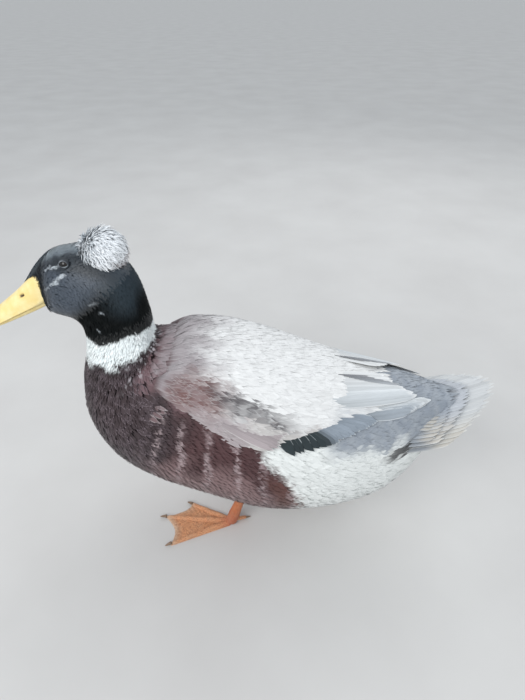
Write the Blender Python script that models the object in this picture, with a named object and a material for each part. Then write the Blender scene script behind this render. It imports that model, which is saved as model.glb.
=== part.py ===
# Crested duck, a drake, standing in mid stride with its head held up.
# Life size, in metres, +Z up. The bill points along -X and the tail along +X.
# The origin is on the floor, in the middle of the bird's outline.

import math
import random

import bmesh
import bpy
from mathutils import Matrix, Vector

MM = 0.001
GAP = 0.3 * MM

# Rings and sides of the round cutters and cores, from small to large
SMALL_BALL = (8, 12)
LARGE_BALL = (10, 16)

# From the body's own zero, between the feet, to the middle of its outline
OUTLINE_MIDDLE = Vector((-11.5, 0.0, 0.0)) * MM

# Sides of the rings that make the flesh
BODY_SIDES = 28
ROUNDNESS = 2.25

# One line for each ring of the body, from the tail forward to the neck's white collar:
# back X, back Z, belly X, belly Z, half width, in mm
TORSO_RINGS = (
    (171.0, 186.0, 181.0, 128.0, 27.0),
    (140.0, 195.0, 152.0, 82.0, 47.0),
    (104.0, 202.0, 117.0, 58.0, 65.0),
    (58.0, 211.0, 62.0, 52.0, 83.0),
    (8.0, 226.0, 2.0, 55.0, 90.0),
    (-36.0, 239.0, -55.0, 75.0, 88.0),
    (-70.0, 244.0, -112.0, 95.0, 79.0),
    (-90.0, 243.0, -152.0, 122.0, 68.0),
    (-99.0, 243.0, -175.0, 165.0, 55.0),
    (-103.0, 246.0, -175.0, 205.0, 42.0),
)
NECK_RINGS = (
    (-103.0, 246.0, -175.0, 205.0, 42.0),
    (-104.0, 255.0, -169.0, 232.0, 32.0),
    (-104.5, 269.0, -166.5, 250.0, 27.0),
    (-107.0, 286.0, -168.0, 263.0, 26.5),
)
# From the nape over the crown to the base of the bill
HEAD_RINGS = (
    (-107.0, 286.0, -168.0, 263.0, 26.5),
    (-111.0, 303.0, -172.0, 269.5, 27.5),
    (-119.0, 319.0, -177.0, 272.5, 28.5),
    (-134.0, 332.0, -183.0, 274.0, 28.5),
    (-152.0, 338.5, -188.0, 275.0, 27.0),
    (-168.0, 337.5, -192.0, 275.5, 24.5),
    (-184.0, 333.5, -193.0, 276.0, 20.0),
    (-198.5, 321.5, -196.0, 278.5, 11.0),
    (-213.0, 303.5, -199.0, 283.0, 5.5),
)
TORSO_STEPS = 3
NECK_STEPS = 3
HEAD_STEPS = 2

# The bill, along its own length: place, half width, height above the mouth line, roundness
BILL_BASE = Vector((-196.0, 0.0, 287.5)) * MM
BILL_PITCH = math.radians(25.0)
BILL_RINGS = (
    (-10.0, 12.2, 25.5, 3.2),
    (0.0, 12.5, 23.4, 3.0),
    (9.0, 12.8, 20.7, 2.6),
    (20.0, 13.0, 17.5, 2.3),
    (34.0, 13.6, 14.2, 2.3),
    (47.0, 14.4, 11.4, 2.3),
    (58.0, 13.8, 8.8, 2.3),
    (66.0, 10.5, 6.4, 2.3),
    (70.0, 5.0, 4.0, 2.3),
)
MANDIBLE_RINGS = (
    (-10.0, 10.0, 5.0, 2.4),
    (4.0, 10.5, 5.2, 2.4),
    (20.0, 11.0, 5.2, 2.4),
    (42.0, 12.0, 4.2, 2.4),
    (58.0, 11.0, 3.2, 2.4),
    (66.5, 5.0, 2.0, 2.4),
)
BILL_SIDES = 16
BILL_STEPS = 2
MOUTH_LINE = 0.4 * MM
NOSTRIL_PLACE = Vector((13.5, 9.8, 13.8)) * MM
NOSTRIL_SIZE = Vector((4.0, 1.8, 1.3)) * MM

EYE_RADIUS = 5.3 * MM
EYE_PLACE = Vector((-166.0, 15.9, 327.8)) * MM
LID_THICKNESS = 1.1 * MM
LID_OPENING = Vector((4.7, 6.0, 3.1)) * MM
LID_TILT = math.radians(-14.0)

# The tuft: a small core and curled feathers that stand out from it on every side
CREST_PLACE = Vector((-137.0, 0.0, 333.0)) * MM
CREST_RADIUS = 21.0 * MM
CREST_CORE = 0.48
CREST_AXIS = Vector((0.30, 0.0, 0.95)).normalized()
CREST_SPREAD = math.radians(100.0)
CREST_COUNT = 37
CREST_CURL = math.radians(100.0)
CREST_STRAIGHT = 0.3
CREST_SET = 1.05
CREST_BEND = 0.8
# The way that the curled feathers lie, and the whorl on the far side that they part from,
# where they are shorter and curl less
CREST_FLOW = Vector((0.75, 0.0, -0.66)).normalized()
CREST_WHORL = math.radians(55.0)
CREST_WHORL_CURL = 0.72
CREST_WHORL_REACH = 0.86
CREST_REACH = (1.15, 1.30)
CREST_TURN = 0.45
CREST_WIDTH = 5.2 * MM
CREST_THICKNESS = (1.0 * MM, 0.5 * MM)
CREST_VANE = ((0.0, 0.5), (0.4, 0.85), (0.75, 1.0), (1.0, 0.4))
CREST_SEED = 11

# The folded wing lies on the body. Places on it are a place along the torso's rings and
# an angle from the spine in degrees. The arm under the feathers, from the rump to the
# shoulder: place, upper edge, lower edge, and height above the body in mm
WING_RINGS = (
    (1.7, 22.0, 44.0, 1.2),
    (2.4, 10.0, 49.0, 2.2),
    (3.0, 5.0, 54.0, 3.4),
    (4.0, 3.5, 66.0, 6.5),
    (5.0, 5.0, 64.0, 7.0),
    (6.0, 17.0, 55.0, 6.0),
    (6.9, 38.0, 50.0, 3.0),
)
WING_STEPS = 2
WING_ARC_POINTS = 8
WING_ROOT = 3.0 * MM
WING_EDGE = 1.0 * MM

# Tiers of wing feathers, lowest first. Each line holds the count, the root and the tip of
# the first and of the last feather, the heights of root and tip above the body, the
# half width, all in mm, and the tilt in degrees that laps each feather over the next
WING_TIERS = (
    (5, (2.3, 43.0), (0.95, 45.0), (2.0, 39.0), (0.30, 37.0), 0.6, 2.0, 6.5, 7.0),
    (6, (3.9, 56.0), (3.6, 70.0), (2.6, 46.0), (1.9, 50.0), 2.0, 1.6, 10.0, 6.0),
    (4, (3.5, 38.0), (0.75, 33.0), (3.4, 11.0), (1.6, 6.0), 2.4, 4.4, 11.5, 5.0),
    (6, (5.4, 57.0), (4.3, 64.0), (4.4, 20.0), (3.1, 14.0), 4.8, 5.6, 11.5, 5.0),
)
VANE_THICKNESS = (1.2 * MM, 0.6 * MM)
VANE_CAMBER = 0.10
# Place along a feather, and its width there as part of the full width
WING_VANE = ((0.0, 0.75), (0.45, 1.0), (0.86, 0.82), (1.0, 0.25))

# The tail, along its own length from the rump. Its fleshy root: place, half width, half
# thickness, in mm
TAIL_ROOT = Vector((166.0, 0.0, 157.0)) * MM
TAIL_PITCH = math.radians(20.0)
TAIL_YAW = math.radians(4.0)
TAIL_RINGS = (
    (10.0, 27.0, 29.0),
    (17.0, 28.0, 19.0),
    (25.0, 27.0, 10.0),
    (36.0, 22.0, 3.0),
)
TAIL_STEPS = 2
# Tiers of tail feathers, from below: the count, the length of the middle feather, that of
# the outer one, the fan's half angle in degrees, the height of root and tip, the droop of
# the outer feathers, and the half width, in mm
TAIL_TIERS = (
    (5, 34.0, 26.0, 34.0, -17.0, -12.0, 0.0, 9.0),
    (12, 76.0, 44.0, 52.0, 0.0, 0.0, 4.0, 8.5),
    (7, 44.0, 32.0, 40.0, 9.0, 3.0, 4.0, 9.5),
)
TAIL_VANE = ((0.0, 0.7), (0.4, 1.0), (0.8, 0.9), (0.95, 0.5), (1.0, 0.2))
TAIL_LAP = 0.35

# Feet: where the toes meet, and the tips of the outer, middle and inner toe and the hallux
FOOT_LEFT = {
    "ankle": (-36.0, -25.0),
    "outer": (-104.0, -56.0),
    "middle": (-115.0, -19.0),
    "inner": (-86.0, 0.0),
    "hallux": (-20.0, -20.0),
    "hock": (-14.0, -33.0, 84.0),
}
FOOT_RIGHT = {
    "ankle": (62.0, 31.0),
    "outer": (-2.0, 68.0),
    "middle": (-16.0, 31.0),
    "inner": (10.0, 8.0),
    "hallux": (78.0, 26.0),
    "hock": (34.0, 38.0, 84.0),
}
TOE_RADII = (4.6 * MM, 2.3 * MM)
HALLUX_RADII = (2.6 * MM, 1.8 * MM)
TOE_STATIONS = 8
TOE_SIDES = 8
TOE_JOINTS = 3
TOE_JOINT_SWELL = 0.07
TOE_ARCH = 1.5
WEB_THICKNESS = 1.6 * MM
# How far the pieces of a foot reach below the floor before the flat sole is cut
TOE_SINK = 1.4 * MM
WEB_SINK = 1.0 * MM
ANKLE_SINK = 8.0 * MM
SOLE_BLOCK = Vector((0.4, 0.4, 0.03))
# The web's edge runs between points this far along the toes, and is drawn in between them
WEB_REACH = 0.94
WEB_HOLLOW = 0.94
WEB_EDGE_STEPS = 6
# A claw is round, and its middle line drops from CLAW_TOP to CLAW_TIP, in toe radii
CLAW_LENGTH = 8.0 * MM
CLAW_STATIONS = (0.0, 0.35, 0.7)
CLAW_THICKNESS = 0.8
CLAW_TOP = 0.95
CLAW_TIP = 0.4
ANKLE_HEIGHT = 4.5
ANKLE_RADIUS = 6.0 * MM
ANKLE_TOP = 15.0 * MM
LEG_RADII = (6.4 * MM, 4.9 * MM, 5.2 * MM, 8.5 * MM, 13.0 * MM)
LEG_SIDES = 14

COLOURS = {
    "slate": ((0.045, 0.058, 0.068, 1.0), 0.60),
    "collar": ((0.55, 0.60, 0.58, 1.0), 0.85),
    "maroon": ((0.085, 0.048, 0.050, 1.0), 0.80),
    "mauve_white": ((0.50, 0.47, 0.45, 1.0), 0.80),
    "tail_grey": ((0.42, 0.40, 0.38, 1.0), 0.80),
    "crest_grey": ((0.36, 0.34, 0.33, 1.0), 0.90),
    "bill_yellow": ((0.78, 0.62, 0.22, 1.0), 0.40),
    "foot_orange": ((0.66, 0.26, 0.10, 1.0), 0.55),
    "eye_dark": ((0.012, 0.010, 0.010, 1.0), 0.08),
    "claw_dark": ((0.035, 0.028, 0.024, 1.0), 0.45),
}


def clear_scene():
    for old in list(bpy.data.objects):
        bpy.data.objects.remove(old, do_unlink=True)


def material(name):
    """The Principled material of one finish."""
    found = bpy.data.materials.get(name)
    if found:
        return found
    colour, roughness = COLOURS[name]
    made = bpy.data.materials.new(name)
    made.use_nodes = True
    shader = made.node_tree.nodes["Principled BSDF"]
    shader.inputs["Base Color"].default_value = colour
    shader.inputs["Roughness"].default_value = roughness
    shader.inputs["Metallic"].default_value = 0.0
    made.diffuse_color = colour
    return made


def smooth_rows(rows, steps):
    """Rows of numbers with steps - 1 more rows between each pair, on a smooth curve."""
    fine = []
    last = len(rows) - 1
    for index in range(last):
        before = rows[max(index - 1, 0)]
        start = rows[index]
        end = rows[index + 1]
        after = rows[min(index + 2, last)]
        for step in range(steps):
            fine.append(hermite(before, start, end, after, step / steps))
    fine.append(tuple(float(value) for value in rows[-1]))
    return fine


def hermite(before, start, end, after, part):
    """A point between start and end, on the curve through all four rows."""
    square = part * part
    cube = square * part
    row = []
    for a, b, c, d in zip(before, start, end, after):
        slope_in = 0.5 * (c - a)
        slope_out = 0.5 * (d - b)
        row.append(
            (2 * cube - 3 * square + 1) * b
            + (cube - 2 * square + part) * slope_in
            + (3 * square - 2 * cube) * c
            + (cube - square) * slope_out
        )
    return tuple(row)


def at_place(rows, place):
    """The row at a place between rows, where 1.5 is half way from row 1 to row 2."""
    last = len(rows) - 1
    index = min(int(place), last - 1)
    return hermite(
        rows[max(index - 1, 0)],
        rows[index],
        rows[index + 1],
        rows[min(index + 2, last)],
        place - index,
    )


def round_pair(angle, roundness):
    """Cosine and sine of a superellipse."""
    cosine = math.cos(angle)
    sine = math.sin(angle)
    power = 2.0 / roundness
    return (
        math.copysign(abs(cosine) ** power, cosine),
        math.copysign(abs(sine) ** power, sine),
    )


def body_point(row, angle, height=0.0):
    """A point of a body ring. Angle 0 is the back, and a quarter turn is the left side."""
    back = Vector((row[0], 0.0, row[1])) * MM
    belly = Vector((row[2], 0.0, row[3])) * MM
    half = (back - belly) / 2
    up, side = round_pair(angle, ROUNDNESS)
    return (
        (back + belly) / 2
        + half * (1 + height / half.length) * up
        - Vector((0.0, row[4] * MM + height, 0.0)) * side
    )


def body_ring(row, height=0.0, sides=BODY_SIDES):
    return [body_point(row, math.tau * k / sides, height) for k in range(sides)]


def mesh_object(name, finish, mesh_data):
    """An object from a bmesh, with its normals out and its shading smooth."""
    bmesh.ops.recalc_face_normals(mesh_data, faces=mesh_data.faces)
    mesh = bpy.data.meshes.new(name)
    mesh_data.to_mesh(mesh)
    mesh_data.free()
    mesh.materials.append(material(finish))
    mesh.shade_smooth()
    mesh.set_sharp_from_angle(angle=math.radians(40))
    made = bpy.data.objects.new(name, mesh)
    bpy.context.scene.collection.objects.link(made)
    return made


def loft(name, finish, rings, tip=None):
    """A closed skin over a row of rings, with flat ends, or one end drawn to a tip."""
    shape = bmesh.new()
    rows = [[shape.verts.new(point) for point in ring] for ring in rings]
    sides = len(rows[0])
    for lower, upper in zip(rows, rows[1:]):
        for k in range(sides):
            after = (k + 1) % sides
            shape.faces.new((lower[k], lower[after], upper[after], upper[k]))
    shape.faces.new(rows[0][::-1])
    if tip is None:
        shape.faces.new(rows[-1])
    else:
        point = shape.verts.new(tip)
        for k in range(sides):
            shape.faces.new((rows[-1][k], rows[-1][(k + 1) % sides], point))
    return mesh_object(name, finish, shape)


def ball(name, finish, centre, size, turn=None, facets=SMALL_BALL):
    """An ellipsoid with the given half sizes."""
    shape = bmesh.new()
    rings, sides = facets
    bmesh.ops.create_uvsphere(shape, u_segments=sides, v_segments=rings, radius=1.0)
    place = Matrix.Translation(centre)
    if turn is not None:
        place = place @ turn
    bmesh.ops.transform(shape, matrix=place @ Matrix.Diagonal((*size, 1.0)), verts=shape.verts)
    return mesh_object(name, finish, shape)


def apply_boolean(target, others, operation, solver="EXACT"):
    """One Boolean of the target with a collection of closed pieces, which then go."""
    pieces = bpy.data.collections.new("pieces")
    bpy.context.scene.collection.children.link(pieces)
    for other in others:
        pieces.objects.link(other)
        other.hide_render = True
        other.display_type = "WIRE"
    cut = target.modifiers.new("join", "BOOLEAN")
    cut.operation = operation
    cut.operand_type = "COLLECTION"
    cut.collection = pieces
    cut.solver = solver
    bpy.context.view_layer.update()
    evaluated = target.evaluated_get(bpy.context.evaluated_depsgraph_get())
    joined = bpy.data.meshes.new_from_object(evaluated)
    target.modifiers.clear()
    target.data = joined
    for other in others:
        bpy.data.objects.remove(other, do_unlink=True)
    bpy.data.collections.remove(pieces)
    keep_largest(target)
    return target


def keep_largest(target):
    """Keep only the largest closed surface of an object's mesh, split into triangles."""
    shape = bmesh.new()
    shape.from_mesh(target.data)
    unseen = set(shape.faces)
    shells = []
    while unseen:
        shell = set()
        front = [unseen.pop()]
        while front:
            face = front.pop()
            shell.add(face)
            for edge in face.edges:
                for near in edge.link_faces:
                    if near in unseen:
                        unseen.discard(near)
                        front.append(near)
        shells.append(shell)
    shells.sort(key=lambda shell: -sum(face.calc_area() for face in shell))
    for shell in shells[1:]:
        bmesh.ops.delete(shape, geom=list(shell), context="FACES")
    bmesh.ops.triangulate(shape, faces=shape.faces)
    shape.to_mesh(target.data)
    shape.free()
    target.data.shade_smooth()
    target.data.set_sharp_from_angle(angle=math.radians(40))


def shifted(ring, along, distance):
    """A ring moved by a distance towards another point."""
    return [point + along.normalized() * distance for point in ring]


def ring_axis(first, second):
    """The direction from one ring's middle to another's."""
    return sum(second, Vector()) / len(second) - sum(first, Vector()) / len(first)


def flesh(name, finish, rows, steps, height=0.0, start_gap=0.0):
    """One length of the body over its own rings, a little short of the piece before it."""
    rings = [body_ring(row, height) for row in smooth_rows(rows, steps)]
    if start_gap:
        rings[0] = shifted(rings[0], ring_axis(rings[0], rings[1]), start_gap)
    return loft(name, finish, rings)


def make_torso(height=0.0):
    return flesh("torso", "maroon", TORSO_RINGS, TORSO_STEPS, height)


def make_neck():
    return flesh("neck", "collar", NECK_RINGS, NECK_STEPS, start_gap=GAP)


def head_skin(height=0.0):
    return flesh("head", "slate", HEAD_RINGS, HEAD_STEPS, height, start_gap=GAP)


def make_head():
    """The head with an eye socket and two lids on each side."""
    head = head_skin()
    lids = []
    cutters = []
    for side in (-1, 1):
        place = Vector((EYE_PLACE.x, EYE_PLACE.y * side, EYE_PLACE.z))
        lid = EYE_RADIUS + LID_THICKNESS
        lids.append(ball("lid", "slate", place, (lid,) * 3, facets=LARGE_BALL))
        socket = EYE_RADIUS + GAP
        cutters.append(ball("socket", "slate", place, (socket,) * 3))
        slit = Vector((place.x, place.y + side * LID_OPENING.y, place.z))
        tilt = Matrix.Rotation(LID_TILT, 4, "Y")
        cutters.append(ball("slit", "slate", slit, LID_OPENING, turn=tilt))
    apply_boolean(head, lids, "UNION")
    return apply_boolean(head, cutters, "DIFFERENCE")


def make_eyes():
    for name, side in (("eye_left", -1), ("eye_right", 1)):
        place = Vector((EYE_PLACE.x, EYE_PLACE.y * side, EYE_PLACE.z))
        ball(name, "eye_dark", place, (EYE_RADIUS,) * 3)


def bill_point(along, across, up):
    """A point in the bill's own frame, along its mouth line, across it and above it."""
    forward = Vector((-math.cos(BILL_PITCH), 0.0, -math.sin(BILL_PITCH)))
    upward = Vector((-math.sin(BILL_PITCH), 0.0, math.cos(BILL_PITCH)))
    return BILL_BASE + forward * along + Vector((0.0, across, 0.0)) + upward * up


def half_bill(name, rows, sign):
    """One half of the bill: flat along the mouth line, rounded above or below it."""
    rings = []
    for along, half_width, height, roundness in smooth_rows(rows, BILL_STEPS):
        ring = []
        for k in range(BILL_SIDES):
            angle = math.pi * k / (BILL_SIDES - 1)
            cosine, sine = round_pair(angle, roundness)
            up = sign * (MOUTH_LINE + sine * height * MM)
            ring.append(bill_point(along * MM, cosine * half_width * MM, up))
        rings.append(ring)
    return loft(name, "bill_yellow", rings)


def make_bill():
    upper = half_bill("bill_upper", BILL_RINGS, 1)
    lower = half_bill("bill_lower", MANDIBLE_RINGS, -1)
    cutters = [head_skin(GAP)]
    for side in (-1, 1):
        place = bill_point(NOSTRIL_PLACE.x, NOSTRIL_PLACE.y * side, NOSTRIL_PLACE.z)
        turn = Matrix.Rotation(-BILL_PITCH, 4, "Y")
        cutters.append(ball("nostril", "bill_yellow", place, NOSTRIL_SIZE, turn=turn))
    apply_boolean(upper, cutters, "DIFFERENCE")
    apply_boolean(lower, [head_skin(GAP)], "DIFFERENCE")


def vane(finish, path, acrosses, ups, profile, half_width, thickness, camber):
    """A thin tapered feather along a path, its two faces split into triangles alike."""
    shape = bmesh.new()
    rows = []
    for middle, across, up, (part, width) in zip(path, acrosses, ups, profile):
        reach = across * half_width * width
        crown = up * half_width * width * camber
        depth = up * (thickness[0] + (thickness[1] - thickness[0]) * part)
        top = [middle - reach, middle + crown, middle + reach]
        if camber == 0.0:
            top.pop(1)
        row = top + [point - depth for point in reversed(top)]
        rows.append([shape.verts.new(point) for point in row])
    size = len(rows[0])
    half = size // 2
    for near, far in zip(rows, rows[1:]):
        for k in range(size):
            after = (k + 1) % size
            quad = (near[k], near[after], far[after], far[k])
            if k < half:
                shape.faces.new((quad[0], quad[1], quad[2]))
                shape.faces.new((quad[0], quad[2], quad[3]))
            else:
                shape.faces.new((quad[0], quad[1], quad[3]))
                shape.faces.new((quad[1], quad[2], quad[3]))
    shape.faces.new(rows[0][::-1])
    shape.faces.new(rows[-1])
    return mesh_object("vane", finish, shape)


def sphere_directions(count, axis, spread):
    """Directions spread evenly round an axis, on a spiral."""
    first = axis.orthogonal().normalized()
    second = axis.cross(first)
    golden = math.pi * (3 - math.sqrt(5))
    for k in range(count):
        height = 1 - (1 - math.cos(spread)) * (k + 0.5) / count
        ring = math.sqrt(1 - height * height)
        angle = golden * k
        yield axis * height + (first * math.cos(angle) + second * math.sin(angle)) * ring


def crest_vane(direction, curl_way, curl, reach):
    """One feather of the tuft, straight out of its core and then curled over."""
    sideways = direction.cross(curl_way).normalized()
    path = []
    ups = []
    middle = CREST_PLACE + direction * (reach - CREST_RADIUS * CREST_SET)
    last = 0.0
    for part, _ in CREST_VANE:
        over = max(0.0, part - CREST_STRAIGHT) / (1 - CREST_STRAIGHT)
        heading = curl * over ** CREST_BEND
        along = direction * math.cos(heading) + curl_way * math.sin(heading)
        middle = middle + along * reach * (part - last)
        last = part
        path.append(middle.copy())
        ups.append((direction * math.sin(heading) - curl_way * math.cos(heading)) * -1)
    acrosses = [sideways] * len(path)
    return vane(
        "crest_grey", path, acrosses, ups, CREST_VANE, CREST_WIDTH, CREST_THICKNESS, 0.0
    )


def make_crest():
    """The tuft of feathers on the back of the crown."""
    draw = random.Random(CREST_SEED)
    core = CREST_RADIUS * CREST_CORE
    crest = ball("crest", "crest_grey", CREST_PLACE, (core,) * 3)
    vanes = []
    for direction in sphere_directions(CREST_COUNT, CREST_AXIS, CREST_SPREAD):
        away = min(1.0, direction.angle(-CREST_FLOW) / CREST_WHORL)
        curl = CREST_CURL * (CREST_WHORL_CURL + (1 - CREST_WHORL_CURL) * away)
        turn = draw.uniform(-CREST_TURN, CREST_TURN)
        curl_way = (CREST_FLOW - direction * CREST_FLOW.dot(direction)).normalized()
        curl_way = Matrix.Rotation(turn, 3, direction) @ curl_way
        reach = CREST_RADIUS * draw.uniform(*CREST_REACH)
        reach *= CREST_WHORL_REACH + (1 - CREST_WHORL_REACH) * away
        vanes.append(crest_vane(direction, curl_way, curl, reach))
    apply_boolean(crest, vanes, "UNION", "MANIFOLD")
    return apply_boolean(crest, [head_skin(GAP), neck_cutter()], "DIFFERENCE", "MANIFOLD")


def neck_cutter():
    return flesh("neck_cutter", "collar", NECK_RINGS, NECK_STEPS, GAP)


def wing_place(place, angle, height, side):
    """A point above the body, with the directions out of the body and towards the tail."""
    step = 0.03
    turn = math.radians(angle)
    here = body_point(at_place(TORSO_RINGS, place), turn)
    behind = body_point(at_place(TORSO_RINGS, place - step), turn)
    below = body_point(at_place(TORSO_RINGS, place), turn + step)
    back = (behind - here).normalized()
    out = (below - here).cross(back).normalized()
    point = here + out * height
    if side > 0:
        for vector in (point, out, back):
            vector.y = -vector.y
    return point, out, back


def wing_arm(name, side):
    """The closed form that carries the feathers, swelling between its two edges."""
    rings = []
    for place, upper, lower, height in smooth_rows(WING_RINGS, WING_STEPS):
        ring = []
        for k in range(WING_ARC_POINTS):
            across = k / (WING_ARC_POINTS - 1)
            swell = WING_EDGE + height * MM * (1 - abs(2 * across - 1) ** 3)
            ring.append(wing_place(place, upper + (lower - upper) * across, swell, side)[0])
        for k in reversed(range(WING_ARC_POINTS)):
            across = k / (WING_ARC_POINTS - 1)
            angle = upper + (lower - upper) * across
            ring.append(wing_place(place, angle, -WING_ROOT, side)[0])
        rings.append(ring)
    return loft(name, "mauve_white", rings)


def wing_vane(root, tip, heights, half_width, tilt, side):
    """One flight feather, laid along the body from its root to its tip."""
    path = []
    outs = []
    for part, _ in WING_VANE:
        place = root[0] + (tip[0] - root[0]) * part
        angle = root[1] + (tip[1] - root[1]) * part
        height = heights[0] + (heights[1] - heights[0]) * part
        point, out, _ = wing_place(place, angle, height * MM, side)
        path.append(point)
        outs.append(out)
    acrosses = []
    ups = []
    for k, out in enumerate(outs):
        along = (path[min(k + 1, len(path) - 1)] - path[max(k - 1, 0)]).normalized()
        across = out.cross(along).normalized() * -side
        lean = math.radians(tilt)
        acrosses.append(across * math.cos(lean) + out * math.sin(lean))
        ups.append(out * math.cos(lean) - across * math.sin(lean))
    return vane(
        "mauve_white", path, acrosses, ups, WING_VANE, half_width * MM, VANE_THICKNESS, VANE_CAMBER
    )


def make_wing(name, side):
    """The folded wing: its arm, and four tiers of feathers that lap towards the tail."""
    vanes = []
    for tier in WING_TIERS:
        count, root_a, tip_a, root_b, tip_b, root_height, tip_height, half_width, tilt = tier
        for k in range(count):
            part = k / (count - 1)
            root = [a + (b - a) * part for a, b in zip(root_a, root_b)]
            tip = [a + (b - a) * part for a, b in zip(tip_a, tip_b)]
            heights = (root_height, tip_height)
            vanes.append(wing_vane(root, tip, heights, half_width, tilt, side))
    wing = apply_boolean(wing_arm(name, side), vanes, "UNION", "MANIFOLD")
    return apply_boolean(wing, [make_torso(GAP)], "DIFFERENCE", "MANIFOLD")


def tail_point(along, across, up):
    """A point in the tail's own frame, along its middle feathers, across and above them."""
    turn = Matrix.Rotation(TAIL_YAW, 3, "Z") @ Matrix.Rotation(-TAIL_PITCH, 3, "Y")
    return TAIL_ROOT + turn @ Vector((along, across, up))


def tail_vane(length, turn, root_height, tip_height, droop, half_width):
    """One tail feather, spread at an angle from the middle line."""
    path = []
    acrosses = []
    ups = []
    for part, _ in TAIL_VANE:
        along = length * part
        height = root_height + (tip_height - root_height) * part
        height -= droop * part * math.sin(turn) ** 2
        start = tail_point(0.0, 0.0, 0.0)
        reach = Vector((math.cos(turn), math.sin(turn), 0.0)) * along
        path.append(tail_point(reach.x * MM, reach.y * MM, height * MM))
        side = tail_point(-math.sin(turn), math.cos(turn), 0.0) - start
        acrosses.append(side.normalized())
        ups.append((tail_point(0.0, 0.0, 1.0) - start).normalized())
    return vane(
        "tail_grey", path, acrosses, ups, TAIL_VANE, half_width * MM, VANE_THICKNESS, VANE_CAMBER
    )


def make_tail():
    """The tail: its root on the rump, the fan of its feathers and the coverts over them."""
    root = body_ring(TORSO_RINGS[0])
    rings = [shifted(root, ring_axis(body_ring(TORSO_RINGS[1]), root), GAP)]
    for along, half_width, half_thickness in smooth_rows(TAIL_RINGS, TAIL_STEPS)[1:]:
        ring = []
        for k in range(BODY_SIDES):
            up, across = round_pair(math.tau * k / BODY_SIDES, ROUNDNESS)
            ring.append(tail_point(along * MM, -half_width * across * MM, half_thickness * up * MM))
        rings.append(ring)
    tail = loft("tail", "tail_grey", rings)
    vanes = []
    for count, middle, outer, spread, root_height, tip_height, droop, half_width in TAIL_TIERS:
        for k in range(count):
            part = 2 * k / (count - 1) - 1
            length = middle + (outer - middle) * abs(part) ** 1.3
            lap = TAIL_LAP * (count - 2 * abs(k - (count - 1) / 2)) / 2
            heights = (root_height + lap, tip_height + lap)
            turn = math.radians(spread) * part
            vanes.append(tail_vane(length, turn, *heights, droop, half_width))
    apply_boolean(tail, vanes, "UNION", "MANIFOLD")
    return apply_boolean(tail, [make_torso(GAP)], "DIFFERENCE", "MANIFOLD")


def toe_path(foot, toe):
    """The middle line of a toe on the floor, from the ankle to its claw."""
    start = Vector((*foot["ankle"], 0.0)) * MM
    end = Vector((*foot[toe], 0.0)) * MM
    return start, end


def toe_rings(start, end, radii):
    """Rings along a toe, flat below, lower at its tip than at its root."""
    along = (end - start).normalized()
    across = Vector((-along.y, along.x, 0.0))
    rings = []
    for station in range(TOE_STATIONS):
        part = station / (TOE_STATIONS - 1)
        radius = radii[0] + (radii[1] - radii[0]) * part
        radius *= 1 + TOE_JOINT_SWELL * math.cos(part * math.tau * TOE_JOINTS)
        middle = start.lerp(end, part)
        ring = []
        for k in range(TOE_SIDES):
            angle = math.pi * k / (TOE_SIDES - 1)
            height = radius * TOE_ARCH * math.sin(angle)
            point = middle + across * radius * math.cos(angle)
            ring.append(Vector((point.x, point.y, height)))
        ring[0].z = -TOE_SINK
        ring[-1].z = -TOE_SINK
        rings.append(ring)
    return rings


def claw(name, start, end, radius):
    """A horn claw on a toe's end, curved down to its tip just above the floor."""
    along = (end - start).normalized()
    across = Vector((-along.y, along.x, 0.0))
    rings = []
    for part in CLAW_STATIONS:
        size = radius * CLAW_THICKNESS * (1 - part)
        middle = end + along * (GAP + CLAW_LENGTH * part)
        middle.z = radius * (CLAW_TOP - (CLAW_TOP - CLAW_TIP) * part * part)
        ring = []
        for k in range(TOE_SIDES):
            angle = math.tau * k / TOE_SIDES
            up = Vector((0.0, 0.0, size * math.sin(angle)))
            ring.append(middle + across * size * math.cos(angle) + up)
        rings.append(ring)
    tip = end + along * (GAP + CLAW_LENGTH)
    tip.z = radius * CLAW_TIP
    return loft(name, "claw_dark", rings, tip=tip)


def make_web(foot):
    """The web between the three front toes, its edge drawn in between their tips."""
    ankle = Vector((*foot["ankle"], 0.0)) * MM
    outline = [ankle]
    for first, second in (("outer", "middle"), ("middle", "inner")):
        start = ankle.lerp(Vector((*foot[first], 0.0)) * MM, WEB_REACH)
        end = ankle.lerp(Vector((*foot[second], 0.0)) * MM, WEB_REACH)
        for step in range(WEB_EDGE_STEPS + 1):
            part = step / WEB_EDGE_STEPS
            point = start.lerp(end, part)
            pull = 1 - (1 - WEB_HOLLOW) * math.sin(math.pi * part)
            point = ankle.lerp(point, pull)
            if (point - outline[-1]).length > 0.1 * MM:
                outline.append(point)
    shape = bmesh.new()
    lower = [shape.verts.new(point - Vector((0, 0, WEB_SINK))) for point in outline]
    upper = [shape.verts.new(point + Vector((0, 0, WEB_THICKNESS))) for point in outline]
    shape.faces.new(lower)
    shape.faces.new(upper[::-1])
    for k in range(len(lower)):
        after = (k + 1) % len(lower)
        shape.faces.new((lower[k], upper[k], upper[after], lower[after]))
    return mesh_object("web", "foot_orange", shape)


def leg_axis(foot):
    """The line of the shank, from the ankle up into the body."""
    base = Vector((*foot["ankle"], ANKLE_HEIGHT)) * MM
    top = Vector(foot["hock"]) * MM
    return base, top


def leg_ring(centre, axis, radius):
    side = axis.cross(Vector((0.0, 1.0, 0.0))).normalized()
    other = axis.cross(side).normalized()
    ring = []
    for k in range(LEG_SIDES):
        angle = math.tau * k / LEG_SIDES
        ring.append(centre + side * radius * math.cos(angle) + other * radius * math.sin(angle))
    return ring


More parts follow.
